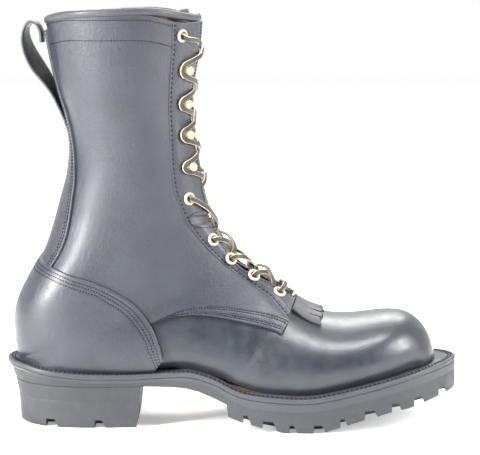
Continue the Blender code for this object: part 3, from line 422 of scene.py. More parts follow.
# --- Meshes -------------------------------------------------------------------------------
def piece(name, verts, faces, look, body="boot", stands_for=(), slot=None, marks=None, sharp=0.6):
    """One mesh from points in millimetres. marks are named numbers per point."""
    mesh = bpy.data.meshes.new(name)
    mesh.from_pydata((np.asarray(verts, float) * MM).tolist(), [], faces)
    for key, values in (marks or {}).items():
        layer = mesh.attributes.new(key, "FLOAT", "POINT")
        layer.data.foreach_set("value", np.asarray(values, np.float32).ravel())
    shape = bmesh.new()
    shape.from_mesh(mesh)
    bmesh.ops.recalc_face_normals(shape, faces=shape.faces)
    if shape.calc_volume(signed=True) < 0:
        bmesh.ops.reverse_faces(shape, faces=shape.faces)
    shape.to_mesh(mesh)
    shape.free()
    mesh.materials.append(look)
    mesh.shade_smooth()
    mesh.set_sharp_from_angle(angle=sharp)
    made = bpy.data.objects.new(name, mesh)
    bpy.context.scene.collection.objects.link(made)
    if body:
        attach(made, body)
    if stands_for:
        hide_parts(*stands_for)
    return made


def tube_faces(count, sides):
    """Quads between count rings of points, and a cap at each end."""
    faces = []
    for a in range(0, (count - 1) * sides, sides):
        b = a + sides
        faces += [(a + k, a + (k + 1) % sides, b + (k + 1) % sides, b + k) for k in range(sides)]
    return faces + [tuple(range(sides)), tuple(range(a + sides, a + 2 * sides))]


def grid_faces(rows, columns, start=0, turn=False):
    i, j = np.meshgrid(np.arange(rows - 1), np.arange(columns - 1), indexing="ij")
    a = (start + i * columns + j).ravel()
    quads = np.stack([a, a + 1, a + columns + 1, a + columns], axis=-1)
    return (quads[:, ::-1] if turn else quads).tolist()


def rim_faces(rows, columns):
    """Quads that join the borders of two grids, one stored after the other."""
    rim = list(range(columns)) + [i * columns + columns - 1 for i in range(1, rows)]
    rim += [(rows - 1) * columns + j for j in range(columns - 2, -1, -1)]
    rim += [i * columns for i in range(rows - 2, 0, -1)]
    under = rows * columns
    return [(a, a + under, b + under, b) for a, b in zip(rim, rim[1:] + rim[:1])]


def shell_parts(outer, inner):
    rows, columns = outer.shape[:2]
    verts = np.concatenate([outer.reshape(-1, 3), inner.reshape(-1, 3)])
    faces = grid_faces(rows, columns) + grid_faces(rows, columns, rows * columns, True)
    return verts, faces + rim_faces(rows, columns)


def border_distances(points):
    """Distances in the sheet from its top, bottom, left and right borders."""
    down = np.linalg.norm(np.diff(points, axis=0), axis=-1)
    across = np.linalg.norm(np.diff(points, axis=1), axis=-1)
    top = np.concatenate([np.zeros((1, points.shape[1])), np.cumsum(down, axis=0)])
    left = np.concatenate([np.zeros((points.shape[0], 1)), np.cumsum(across, axis=1)], axis=1)
    return {"t": top, "b": top[-1] - top, "l": left, "r": left[:, -1:] - left}


def waves(points, size, seed):
    """A smooth field between about -1 and 1, from sines of several directions."""
    source = np.random.default_rng(seed)
    total = np.zeros(points.shape[:-1])
    for _ in range(7):
        way = source.normal(size=3)
        way *= source.uniform(0.6, 1.5) / np.linalg.norm(way)
        total += np.sin(points @ way * (2 * np.pi / size) + source.uniform(0, 2 * np.pi))
    return total / 3.5


def graded(length, step_mm, fine=12.0, fine_step=0.45, ends=(True, True)):
    """Shares of a length, with close lines near its ends."""
    close = np.concatenate([[0, 0.1, 0.25], np.arange(0.45, fine, fine_step)])
    first = close if ends[0] else np.array([0.0])
    last = length - (close[::-1] if ends[1] else np.array([0.0]))
    middle = np.arange(first[-1] + step_mm, last[0] - step_mm / 2, step_mm)
    return np.concatenate([first, middle, last]) / length


def resample(line, shares, out=2.0):
    return along_skin(np.asarray(line, float), shares, out)


def patch(top, bottom, rear, front, across, down):
    """A grid of (u, a) between four border lines, at shares across and down."""
    top, bottom = resample(top, across), resample(bottom, across)
    rear, front = resample(rear, down), resample(front, down)
    t, s = down[:, None, None], across[None, :, None]
    ends = (1 - t) * top[None] + t * bottom[None]
    sides = (1 - s) * rear[:, None] + s * front[:, None]
    upper = (1 - s) * top[0] + s * top[-1]
    lower = (1 - s) * bottom[0] + s * bottom[-1]
    corners = (1 - t) * upper + t * lower
    return ends + sides - corners


def rounding(distance, radius):
    near = 1 - np.clip(distance / radius, 0, 1)
    return radius * (1 - np.sqrt(np.clip(1 - near**2, 0, 1)))


def leather_sheet(name, grid, high, thick, look, mirror=False, rims="tblr", radius=0.8,
                  rows=(), row_rims="b", folds=0.0, slot="black_leather", **options):
    """A sheet on the last with rounded rims, and a shallow channel under each row of stitches."""
    u, a = grid[..., 0], grid[..., 1] * (-1 if mirror else 1)
    high = np.broadcast_to(np.asarray(high, float), u.shape)
    away = border_distances(skin(u, a, high))
    edge = np.minimum.reduce([away[key] for key in rims]) if rims else np.full(u.shape, 50.0)
    height = high - rounding(edge, radius)
    near = np.minimum.reduce([away[key] for key in row_rims])
    for row in rows:
        height = height - 0.22 * np.exp(-(((near - row) / 0.55) ** 2))
    if folds:
        height = height + folds * waves(skin(u, a, high), 55.0, 4)
    outer, inner = skin(u, a, height), skin(u, a, high - thick)
    verts, faces = shell_parts(outer, inner)
    marks = {"edge": np.concatenate([edge.ravel(), np.full(edge.size, -1.0)])}
    made = piece(name, verts, faces, look, marks=marks, slot=slot, **options)
    return made, {"away": away, "u": u, "a": a, "height": height}


# --- Stitches -----------------------------------------------------------------------------
STITCH = [    # (share of the half length, lift, radius) of one stitch's rings
    (-1.0, -0.22, 0.10), (-0.72, 0.06, 0.27), (0.0, 0.17, 0.31), (0.72, 0.06, 0.27),
    (1.0, -0.22, 0.10),
]


class Thread:
    """Collects the stitches of one seam and makes one mesh of them."""

    def __init__(self, sides=6):
        self.verts = []
        self.faces = []
        self.sides = sides

    def one(self, centre, ahead, up, half, thick):
        across = np.cross(ahead, up)
        start = len(self.verts)
        for share, lift, radius in STITCH:
            for k in range(self.sides):
                turn = 2 * np.pi * k / self.sides
                offset = across * np.cos(turn) + up * np.sin(turn)
                raised = (up * lift + offset * radius) * thick
                self.verts.append(centre + ahead * share * half + raised)
        count = len(STITCH)
        for ring in range(count - 1):
            for k in range(self.sides):
                m = (k + 1) % self.sides
                a, b = start + ring * self.sides, start + (ring + 1) * self.sides
                self.faces.append((a + k, a + m, b + m, b + k))
        last = start + (count - 1) * self.sides
        self.faces.append(tuple(range(start, start + self.sides)))
        self.faces.append(tuple(reversed(range(last, last + self.sides))))

    def row(self, line, ups, pitch=2.0, half=0.78, thick=1.0, slant=0.16):
        """Stitches along a line of points, with the outward direction at each."""
        line, ups = np.asarray(line, float), np.asarray(ups, float)
        run = distance_along(line)
        if run[-1] < 2 * pitch:
            return
        at = np.arange(pitch / 2, run[-1], pitch)
        point = read_at(at, run, line)
        ahead = read_at(at + 0.3, run, line) - read_at(at - 0.3, run, line)
        up = read_at(at, run, ups)
        for p, t, n in zip(point, ahead, up):
            n = n / np.linalg.norm(n)
            t = t - n * (t @ n)
            t = t / (np.linalg.norm(t) + 1e-9)
            t = t * np.cos(slant) + np.cross(n, t) * np.sin(slant)
            self.one(p, t, n, half, thick)

    def make(self, name, look, body="boot", slot="black_leather"):
        if self.verts:
            piece(name, np.array(self.verts), self.faces, look, body, slot=slot, sharp=1.2)


def level_line(data, rim, distance, first=0.0, last=1.0):
    """The line in a sheet at one distance from a rim, and the outward directions on it."""
    away = data["away"][rim]
    if rim in "lr":
        away = away.T
        fields = [data["u"].T, data["a"].T, data["height"].T]
    else:
        fields = [data["u"], data["a"], data["height"]]
    order = slice(None) if away[0, 0] <= away[-1, 0] else slice(None, None, -1)
    count = away.shape[1]
    keep = range(int(first * (count - 1)), int(last * (count - 1)) + 1)
    keep = [j for j in keep if away[:, j].max() > distance]
    values = [[np.interp(distance, away[order, j], f[order, j]) for j in keep] for f in fields]
    u, a, height = (np.array(v) for v in values)
    return skin(u, a, height), last_normal(u, a)


def skin_line(u, a, out):
    u, a = np.broadcast_arrays(np.asarray(u, float), np.asarray(a, float))
    return skin(u, a, out), last_normal(u, a)


# --- Materials ----------------------------------------------------------------------------
class Look:
    """A node material with a Principled shader."""

    def __init__(self, name, roughness, metallic=0.0, **sockets):
        self.made = bpy.data.materials.new(name)
        self.made.use_nodes = True
        self.tree = self.made.node_tree
        self.shader = self.tree.nodes["Principled BSDF"]
        self.shader.inputs["Roughness"].default_value = roughness
        self.shader.inputs["Metallic"].default_value = metallic
        for key, value in sockets.items():
            self.shader.inputs[key.replace("_", " ")].default_value = value
        self.place = self.node("ShaderNodeTexCoord").outputs["Object"]

    def node(self, kind, **settings):
        made = self.tree.nodes.new(kind)
        for key, value in settings.items():
            if hasattr(made, key):
                setattr(made, key, value)
            else:
                made.inputs[key].default_value = value
        return made

    def link(self, source, target):
        self.tree.links.new(source, target)

    def noise(self, scale, detail=2.0, roughness=0.5):
        made = self.node("ShaderNodeTexNoise", Scale=scale, Detail=detail, Roughness=roughness)
        self.link(self.place, made.inputs["Vector"])
        return made.outputs["Fac"]

    def cells(self, scale, feature="SMOOTH_F1"):
        made = self.node("ShaderNodeTexVoronoi", feature=feature)
        made.inputs["Scale"].default_value = scale
        self.link(self.place, made.inputs["Vector"])
        return made.outputs["Distance"]

    def mark(self, name):
        return self.node("ShaderNodeAttribute", attribute_name=name).outputs["Fac"]

    def band(self, source, low, high, start=0.0, end=1.0):
        made = self.node("ShaderNodeMapRange", interpolation_type="SMOOTHSTEP")
        span = {"From Min": low, "From Max": high, "To Min": start, "To Max": end}
        for key, value in span.items():
            made.inputs[key].default_value = value
        self.link(source, made.inputs["Value"])
        return made.outputs["Result"]

    def maths(self, operation, first, second):
        made = self.node("ShaderNodeMath", operation=operation)
        for socket, value in zip(made.inputs, (first, second)):
            if isinstance(value, (int, float)):
                socket.default_value = value
            else:
                self.link(value, socket)
        return made.outputs[0]

    def mix(self, share, first, second):
        made = self.node("ShaderNodeMix", data_type="RGBA")
        self.link(share, made.inputs[0])
        for socket, value in ((made.inputs[6], first), (made.inputs[7], second)):
            if isinstance(value, tuple):
                socket.default_value = (*value, 1.0)
            else:
                self.link(value, socket)
        return made.outputs[2]

    def colour(self, value):
        if isinstance(value, tuple):
            self.shader.inputs["Base Color"].default_value = (*value, 1.0)
        else:
            self.link(value, self.shader.inputs["Base Color"])
        return self

    def rough(self, source, low, high):
        self.link(self.band(source, 0.3, 0.7, low, high), self.shader.inputs["Roughness"])
        return self

    def bump(self, height, distance, strength=1.0, under=None):
        made = self.node("ShaderNodeBump", Strength=strength, Distance=distance)
        self.link(height, made.inputs["Height"])
        if under is not None:
            self.link(under, made.inputs["Normal"])
        return made.outputs["Normal"]

    def normal(self, source):
        self.link(source, self.shader.inputs["Normal"])
        return self


def smooth_leather(name, tone, roughness, pebble=0.05, flesh=(0.05, 0.042, 0.036)):
    """Oiled black leather: pebbled grain, cloudy tone, and a painted highlight on its cut rims."""
    look = Look(name, roughness, Coat_Weight=0.3, Coat_Roughness=0.30)
    cloud = look.noise(38.0, 3.0, 0.6)
    fine = look.noise(420.0, 3.0, 0.65)
    paler = tuple(1.28 * c for c in tone)
    darker = tuple(0.80 * c for c in tone)
    base = look.mix(look.band(cloud, 0.3, 0.72), darker, paler)
    base = look.mix(look.band(fine, 0.50, 0.75, 0.0, 0.18), base, tuple(1.6 * c for c in tone))
    edge = look.mark("edge")
    # painted highlight: the colour turns paler near a cut rim, where the rounded edge catches the
    # light
    painted_rim_highlight = look.band(edge, 1.5, 0.0, 0.0, 0.55)
    base = look.mix(painted_rim_highlight, base, tuple(min(1.0, 2.1 * c) for c in tone))
    look.colour(look.mix(look.band(edge, -0.4, -0.6), base, flesh))
    look.rough(look.noise(160.0, 4.0, 0.6), roughness - 0.06, roughness + 0.07)
    fuzz = look.maths("MULTIPLY", look.noise(2100.0, 2.0), 0.6)
    grain = look.maths("ADD", look.cells(800.0), fuzz)
    soft = look.bump(look.noise(330.0, 5.0, 0.72), 8 * pebble * MM, 0.9)
    return look.normal(look.bump(grain, pebble * MM, 1.0, soft)).made


BLACK = (0.014, 0.017, 0.025)
SHAFT = smooth_leather("shaft_leather", BLACK, 0.36, 0.10)
COUNTER = smooth_leather("counter_leather", (0.018, 0.021, 0.029), 0.39, 0.055)
VAMP = smooth_leather("vamp_leather", (0.015, 0.018, 0.024), 0.36, 0.022)
STRAP = smooth_leather("strap_leather", (0.024, 0.025, 0.030), 0.46, 0.10)


def thread_look():
    look = Look("waxed_thread", 0.6, Specular_IOR_Level=0.18)
    look.colour(look.mix(look.noise(600.0, 2.0), (0.004, 0.004, 0.005), (0.014, 0.014, 0.017)))
    return look.normal(look.bump(look.noise(2600.0, 2.0), 0.00008, 0.7)).made


def rubber_look(name, tone, roughness):
    look = Look(name, roughness)
    dark, light = (tuple(by * c for c in tone) for by in (0.78, 1.25))
    cloud = look.mix(look.noise(45.0, 4.0, 0.6), dark, light)
    dust = look.band(look.noise(240.0, 4.0, 0.7), 0.5, 0.8, 0.0, 0.5)
    look.colour(look.mix(dust, cloud, tuple(1.7 * c for c in tone)))
    look.rough(look.noise(90.0, 4.0), roughness - 0.08, roughness + 0.1)
    speck = look.bump(look.noise(1500.0, 3.0, 0.7), 0.00010, 0.8)
    return look.normal(look.bump(look.noise(260.0, 4.0, 0.65), 0.00022, 0.5, speck)).made


def metal_look(name, tone, roughness, metallic):
    look = Look(name, roughness, metallic)
    look.colour(look.mix(look.noise(500.0, 3.0), tuple(0.86 * c for c in tone), tone))
    look.rough(look.noise(900.0, 3.0), roughness - 0.06, roughness + 0.08)
    return look.normal(look.bump(look.noise(1400.0, 2.0), 0.00003, 0.5)).made


def plain_grain(name, dark, light, scale, roughness, bump):
    look = Look(name, roughness)
    look.colour(look.mix(look.noise(scale, 4.0, 0.65), dark, light))
    look.rough(look.noise(scale / 2, 3.0), roughness - 0.08, roughness + 0.05)
    return look.normal(look.bump(look.noise(scale * 3, 3.0, 0.7), bump, 0.8)).made


def lace_look():
    """Rawhide: a black face, and paler cut sides where the mark is high."""
    look = Look("rawhide", 0.5)
    black = look.mix(look.noise(350.0, 3.0), (0.012, 0.011, 0.011), (0.034, 0.031, 0.029))
    cream = look.mix(look.noise(280.0, 3.0), (0.44, 0.34, 0.19), (0.60, 0.50, 0.32))
    look.colour(look.mix(look.band(look.mark("side"), 0.35, 0.65), black, cream))
    return look.normal(look.bump(look.noise(1100.0, 4.0, 0.7), 0.00012, 0.8)).made


THREAD = thread_look()
LACE = lace_look()
RUBBER = rubber_look("sole_rubber", (0.029, 0.030, 0.034), 0.58)
WELT = rubber_look("welt_leather", (0.036, 0.038, 0.044), 0.46)
EYELET = metal_look("eyelet_enamel", (0.46, 0.40, 0.29), 0.36, 0.25)
BRASS = metal_look("hook_brass", (0.50, 0.38, 0.23), 0.36, 0.45)
STEEL = metal_look("screw_steel", (0.5, 0.5, 0.5), 0.4, 1.0)
TAN = plain_grain("tan_leather", (0.42, 0.26, 0.10), (0.62, 0.42, 0.20), 220.0, 0.6, 0.0001)
CORK = plain_grain("cork", (0.26, 0.15, 0.07), (0.45, 0.29, 0.15), 600.0, 0.9, 0.0003)
LINING = plain_grain("lining_leather", (0.095, 0.065, 0.043), (0.16, 0.11, 0.075), 260.0, 0.75,
                     0.0001)
BOARD = plain_grain("stiffener_board", (0.42, 0.37, 0.28), (0.56, 0.50, 0.39), 400.0, 0.7, 0.0001)


def fill(line, count=400):
    """A smooth dense version of a line of (u, a) pairs."""
    return smooth_curve(np.asarray(line, float), count)


def straight(start, end, count=60):
    return np.linspace(start, end, count)


def welt_contact(sections, out, side=-1, clear=0.6):
    """(u, a) pairs at which a sheet at this height above the last comes down to the welt."""
    pairs = []
    for u, end in zip(sections, girth(sections, side)[1]):
        a = side * np.linspace(end, end - 0.2, 161)
        low = skin(u, a, out)
        found = low[:, 2] > welt_top(low[:, 0]) + WELT_LIFT + clear
        pairs.append((u, a[int(found.argmax())]))
    return np.array(pairs)


# --- Shaft --------------------------------------------------------------------------------
QUARTER_OUT = 2.6
QUARTER_BACK_U = 11.6          # where the quarters end at the back seam, behind the counter
QUARTER_SEAMS = (2.1, 3.9, 8.7, 10.8)   # distances of stitch rows from an edge
COLLAR_SEAMS = (3.6, 17.6)
COUNTER_SEAMS = (3.2, 5.8, 8.5)
BACKSTAY_SEAMS = (2.2, 4.4)
COUNTER_OUT = 5.2
NOTCH_SEAM = [
    (-13.0, 150.6), (-20.0, 150.6), (-26.5, 149.4), (-30.4, 145.4), (-27.5, 140.8), (-21.0, 139.2),
    (-10.0, 139.0),
]
REAR_LINE, GAP_LINE = facing_borders(60)
BOTTOM_LINE = trace(QUARTER_BOTTOM, 50, 2.0)
COUNTER_LINE = counter_edge(36)


def collar_rise(a):
    """How far, in sections, the collar stands above the line of its front and back ends."""
    away = np.abs(np.asarray(a, float))
    return 0.30 * step(away, 0.1, 0.45) - 0.14 * step(away, 0.7, 1.0)


def quarter_top(a):
    """The section at which the quarters end, just under the collar bead."""
    return TOP_U - 0.06 - 1.4 * collar_rise(a)


def quarter_borders():
    run = np.linalg.norm(skin(*GAP_LINE.T, 2.0) - skin(*REAR_LINE.T, 2.0), axis=-1)
    lapped = REAR_LINE + (GAP_LINE - REAR_LINE) * np.minimum(FACING_LAP / run, 0.6)[:, None]
    front = np.concatenate([fill(lapped, 300), fill(trace(QUARTER_TAB, 7, 2.0), 40)])
    rear = straight((quarter_top(-1.0), -1.0), (QUARTER_BACK_U, -1.0), 200)
    join = straight(rear[-1], BOTTOM_LINE[0], 20)[:-1]
    bottom = np.concatenate([join, fill(BOTTOM_LINE, 300)[:-1], front[-1:]])
    top = straight(rear[0], front[0])
    top[:, 0] = quarter_top(top[:, 1])
    return top, bottom, rear, front


def seam(name, lines, pitch, half, thick=1.0, look=None, body="boot"):
    thread = Thread()
    for line, ups in lines:
        thread.row(line, ups, pitch, half, 1.25 * thick)
    thread.make(name, look or THREAD, body)


def make_quarters():
    across = graded(112.0, 1.7, 4.0, ends=(False, True))
    down = graded(205.0, 1.7, 14.0)
    grid = patch(*quarter_borders(), across, down)
    for side, flip in SIDES:
        name = f"quarter_{side}"
        _, data = leather_sheet(name + "_leather", grid, QUARTER_OUT, LEATHER, SHAFT, flip < 0, "b",
                                rows=QUARTER_SEAMS, folds=0.22, stands_for=[name])
        sewn = [level_line(data, "b", d, 0.28, 0.995) for d in QUARTER_SEAMS]
        seam(name + "_bottom_seams", sewn, 1.9, 0.78, 0.9)
        collar = [level_line(data, "t", d, 0.06, 1.0) for d in COLLAR_SEAMS]
        seam(f"collar_{side}_seams", collar, 2.3, 0.85, 0.9)


def make_facings():
    rear, front = fill(REAR_LINE, 400), fill(GAP_LINE, 400)
    top, bottom = straight(rear[0], front[0]), straight(rear[-1], front[-1])
    grid = patch(top, bottom, rear, front, graded(16.0, 0.6, 4.0), graded(255.0, 1.2, 3.0))
    run = border_distances(skin(grid[..., 0], grid[..., 1], FACING_OUT))["l"]
    high = FACING_OUT - 1.75 * (1 - step(run, 0.0, 7.5))
    for side, flip in SIDES:
        name = f"facing_{side}"
        made, data = leather_sheet(name + "_leather", grid, high, 2.9, SHAFT, flip < 0, "tblr", 0.5,
                                   (1.8,), "lr", stands_for=[name])
        seam(name + "_rear_seam", [level_line(data, "l", 1.8, 0.01, 0.99)], 3.3, 1.0, 1.25)
        seam(name + "_front_seam", [level_line(data, "r", 2.0, 0.01, 0.99)], 2.3, 0.8, 1.0)
        cut_notch(made, flip)
        behind = grid[100:150, 8:-2]
        leather_sheet(f"notch_{side}_backing", behind, 2.2, 1.5, STRAP, flip < 0, "")
        around = fill(trace(NOTCH_SEAM, 14, FACING_OUT), 60) * [1, flip]
        sewn = skin_line(around[:, 0], around[:, 1], FACING_OUT - 0.1)
        seam(name + "_notch_seam", [sewn], 2.2, 0.8, 0.9)


def slot_cutter(name, centre, size, sides=24):
    """A bar with rounded ends that runs across the boot."""
    x, y, z = size
    turn = np.linspace(0, 2 * np.pi, sides, endpoint=False)
    along = np.cos(turn) * z / 2 + np.sign(np.cos(turn)) * (x - z) / 2
    ring = np.stack([along, np.sin(turn) * z / 2], axis=-1)
    verts = [(px + centre[0], centre[1] + sign * y / 2, pz + centre[2])
             for sign in (-1, 1) for px, pz in ring]
    faces = [tuple(range(sides)), tuple(range(2 * sides - 1, sides - 1, -1))]
    faces += [(k, (k + 1) % sides, (k + 1) % sides + sides, k + sides) for k in range(sides)]
    return piece(name, verts, faces, STRAP, body=None)


def carve(target, cutters):
    """Cuts the cutters out of the target for good."""
    for cutter in cutters:
        cutting = target.modifiers.new("cut", "BOOLEAN")
        cutting.operation = "DIFFERENCE"
        cutting.solver = "EXACT"
        cutting.object = cutter
    graph = bpy.context.evaluated_depsgraph_get()
    done = bpy.data.meshes.new_from_object(target.evaluated_get(graph))
    target.modifiers.clear()
    target.data = done
    for cutter in cutters:
        bpy.data.objects.remove(cutter)


def cut_notch(facing, flip):
    carve(facing, [slot_cutter("notch", (-19.0, -27.0 * flip, 144.6), (19.0, 26.0, 6.5))])


def make_counter():
    edge = fill(COUNTER_LINE, 400)
    sections = HEEL_SECTION - 0.2 + 4.4 * np.linspace(0, 1, 60)
    low = welt_contact(sections, OVERLAY_LIFT, clear=-2.0)
    low[0, 1] = -1.0
    across = graded(135.0, 1.5, 2.0, ends=(False, True))
    down = graded(62.0, 1.6, 12.0, ends=(True, False))
    edge = resample(edge, across, 4.5)
    low = resample(fill(low, 300), across, 4.0)
    half = edge[None] * (1 - down[:, None, None]) + low[None] * down[:, None, None]
    grid = np.concatenate([half[:, ::-1], (half * [1, -1])[:, 1:]], axis=1)
    _, data = leather_sheet("counter_leather", grid, COUNTER_OUT, 2.7, COUNTER, False, "t", 1.0,
                            COUNTER_SEAMS, "t", folds=0.16, stands_for=["heel_counter"])
    seam("counter_seams", [level_line(data, "t", d) for d in COUNTER_SEAMS], 2.1, 0.8, 0.9)


def make_backstay():
    limit = fill(COUNTER_LINE, 400)
    rows = graded(175.0, 1.6, 3.0, ends=(True, False))
    across = graded(34.0, 1.2, 6.0)
    u = TOP_U + 0.05 + rows * (COUNTER_BACK_U + 0.15 - TOP_U - 0.05)
    width = np.interp(u, *zip(*BACKSTAY_WIDTH))[:, None] * (2 * across - 1)[None]
    away = 1 - np.abs(width) / (np.pi * half_at(u))[:, None]
    a = np.where(width < 0, -away, away)
    low = np.interp(-away, limit[:80, 1], limit[:80, 0])
    grid = np.stack([u[:, None] + rows[:, None] * (low - COUNTER_BACK_U), a], axis=-1)
    _, data = leather_sheet("backstay_leather", grid, OVERLAY_LIFT + 1.2, 2.2, SHAFT, False, "lr",
                            rows=BACKSTAY_SEAMS, row_rims="lr", stands_for=["backstay"])
    rows = [level_line(data, side, d) for side in "lr" for d in BACKSTAY_SEAMS]
    seam("backstay_seams", rows, 2.3, 0.8, 0.9)


def make_binding():
    """A rolled bead round the collar, from one facing to the other."""
    rim = straight(edge_of_gap(0.1)[0], -1.0, 160)
    a = np.concatenate([rim, -rim[-2::-1]])
    turn = np.linspace(0, 2 * np.pi, 28, endpoint=False)
    u0 = 0.03 - collar_rise(a)
    verts = []
    normal = last_normal(u0, a)
    base = skin(u0, a, 1.5)
    below = skin(u0 + 0.2, a, 1.5) - base
    below /= np.linalg.norm(below, axis=-1, keepdims=True)
    for angle in turn:
        wide = 2.3 * np.sign(np.cos(angle)) * abs(np.cos(angle)) ** 0.8
        tall = 2.7 * np.sin(angle)
        verts.append(base + normal * wide - below * (tall - 1.0))
    verts = np.stack(verts, axis=1).reshape(-1, 3)
    faces = tube_faces(len(a), len(turn))
    marks = {"edge": np.full(len(verts), 5.0)}
    piece("collar_binding", verts, faces, STRAP, stands_for=["top_binding"],
          slot="black_leather", marks=marks)
    inside = np.linspace(-0.30, -1.0, 90)
    across = np.concatenate([inside, -inside[-2::-1]])
    down = np.linspace(-0.12, 6.5, 60)
    grid = np.stack(np.meshgrid(down, across, indexing="ij"), axis=-1)
    leather_sheet("shaft_lining_leather", grid, 0.3, 1.6, LINING, rims="b",
                  stands_for=["collar_lining"], slot="lining_leather")


# --- Forefoot -----------------------------------------------------------------------------
def vamp_grid(rows, columns, out=0.0, back=0.0, toe=28.99, clear=-2.2):
    """The vamp's sheet, from its rear edge to the toe and down to the welt on both sides."""
    wing = trace(VAMP_REAR, 24)
    throat = [tuple(wing[-1]), (VAMP_THROAT_U - 0.1, -0.13), (VAMP_THROAT_U, 0.0)]
    bend = smooth_curve(throat, 12)[1:]
    rear = np.concatenate([wing, bend]) + np.array([back, 0])
    rear = np.concatenate([rear, (rear * [1, -1])[-2::-1]])
    sections = rear[0, 0] + (toe - rear[0, 0]) * np.linspace(0, 1, 140)
    lateral, medial = (welt_contact(sections, out, side, clear) for side in (-1, 1))
    rear[0], rear[-1] = lateral[0], medial[0]
    across = straight(lateral[-1], medial[-1], 80)
    return patch(rear, across, lateral, medial, np.linspace(0, 1, columns), np.linspace(0, 1, rows))


def make_vamp():
    leather_sheet("vamp_leather", vamp_grid(150, 190), 0.0, VAMP_THICK, VAMP, rims="", folds=0.07,
                  stands_for=["vamp", "toe_stiffener"])
    inner = vamp_grid(60, 60, -4.5, 1.2, 27.1, 2.0)
    leather_sheet("vamp_lining_leather", inner, -4.5, 1.2, LINING, rims="",
                  stands_for=["vamp_lining"], slot="lining_leather")


def make_tongue():
    u = np.linspace(TONGUE_TOP_U, 18.3, 190)
    half = edge_of_gap(u, np.interp(u, *zip(*TONGUE_HALF)))
    share = 2 * graded(70.0, 1.6, 4.0) - 1
    rounded = (0.12 + 0.32 * np.abs(share) ** 3)[None] * (1 - step(u, TONGUE_TOP_U, 2.0))[:, None]
    grid = np.stack([u[:, None] + rounded, -half[:, None] * share], axis=-1)
    depth = np.interp(u, *zip(*TONGUE_DEPTH))[:, None]
    high = -depth + 0.35 * waves(skin(grid[..., 0], grid[..., 1], -5.0), 40.0, 9)
    leather_sheet("tongue_leather", grid, high, 2.0, STRAP, rims="tlr", radius=0.7,
                  body="tongue_body", stands_for=["tongue"])


FRINGE_SLITS = (-0.145, -0.090, -0.036, 0.018, 0.070, 0.125)


def make_kiltie():
    """A flap over the throat whose front edge is slit into a fringe."""
    across = np.linspace(-0.19, 0.19, 241)
    slit = np.zeros_like(across)
    for centre in FRINGE_SLITS:
        slit = np.maximum(slit, np.clip(1 - np.abs(across - centre) / 0.0052, 0, 1) ** 0.4)
    ragged = 0.07 * np.sin(across * 95) + 0.04 * np.sin(across * 231 + 1)
    front = np.stack([20.52 + ragged - 2.0 * across**2 - 0.62 * slit, across], axis=-1)
    rear = np.stack([np.full(len(across), 18.72), across * 0.9], axis=-1)
    share = np.linspace(0, 1, 26)[:, None, None]
    grid = rear * (1 - share) + front * share
    lift = 0.5 * share[..., 0] ** 2 * np.sin(across * 70)[None]
    leather_sheet("kiltie_leather", grid, 2.7 + lift, 2.0, STRAP, rims="blr",
                  body="kiltie_body", stands_for=["kiltie"])


# --- Sole ---------------------------------------------------------------------------------
def swept(name, rings, look, stands_for, slot):
    """A closed band round the boot: rings are loops of points, one per corner of its section."""
    count = len(rings[0])
    faces = []
    for k in range(len(rings)):
        a, b = k * count, (k + 1) % len(rings) * count
        faces += [(a + i, a + (i + 1) % count, b + (i + 1) % count, b + i) for i in range(count)]
    return piece(name, np.concatenate(rings), faces, look, stands_for=stands_for, slot=slot,
                 sharp=0.9)


def plan_loop(inset, count=620):
    """A closed plan line round the sole, heel to toe and back."""
    wider = lambda x: inset(x) - np.where(inset(x) < margin(x) - 2.0, proud(x), 0.0)
    lateral, medial = edge_line(-1, wider), edge_line(1, wider)
    line = np.concatenate([lateral, medial[::-1]])
    run = distance_along(line)
    even = np.linspace(0, run[-1], 2 * count)
    return read_at(even, run, line)


def proud(x):
    """How far the layers below the upper stand out from their solids."""
    return 1.7 + 2.6 * step(x, 105, 150)


def level(inset, lift):
    line = plan_loop(lambda x: inset + 0 * x) if isinstance(inset, float) else plan_loop(inset)
    return np.column_stack([line, welt_top(line[:, 0]) + lift])


def make_welt():
    top, base = WELT_LIFT, WELT_BASE
    profile = [
        (0.7, base), (0.15, base + 0.35), (0.0, base + 0.9), (0.0, top - 0.9), (0.18, top - 0.3),
        (0.7, top), (1.6, top + 0.02), (2.6, top - 0.05), (3.0, top - 0.32), (3.4, top - 0.05),
        (4.6, top + 0.02), (5.0, top - 0.28), (5.4, top),
    ]
    rings = [level(inset, lift) for inset, lift in profile]
    for beyond, lift in ((-1.6, 0.05), (-0.4, 0.9), (0.9, 0.9)):
        rings.append(level(lambda x: margin(x) + beyond, top + lift))
    tucked = under_upper(WELT_TUCK, WELT_TUCK)
    rings += [level(tucked, top), level(tucked, base)]
    swept("welt_strip", rings, WELT, ["welt"], "edge_leather")
    thread = Thread()
    for inset in (3.0, 5.0):
        line = level(inset, WELT_LIFT - 0.12)
        thread.row(line, np.tile([0.0, 0.0, 1.0], (len(line), 1)), 3.3, 1.25, 1.5, 0.1)
    thread.make("welt_stitches", THREAD, slot="black_leather")


def lofted(name, x, rings, look, stands_for, slot, bend=None):
    """A solid between stations x: rings are (inset, height) pairs from the top down."""
    sides = [[], []]
    for inset, height in rings:
        wider = lambda v, inset=inset: inset(v) - proud(v)
        for side, edge in zip(sides, plan_edges(x, wider)):
            side.append(np.column_stack([edge, height(edge[:, 0])]))
    loop = np.array(sides[0] + sides[1][::-1])
    verts = loop.transpose(1, 0, 2).reshape(-1, 3)
    if bend is not None:
        verts = bend(verts)
    faces = tube_faces(len(x), len(loop))
    return piece(name, verts, faces, look, stands_for=stands_for, slot=slot, sharp=0.7)


def between(top, bottom, share):
    return lambda x: top(x) + (bottom(x) - top(x)) * share


def blend_inset(first, second, share, extra=0.0):
    return lambda x: first(x) * (1 - share) + second(x) * share + extra


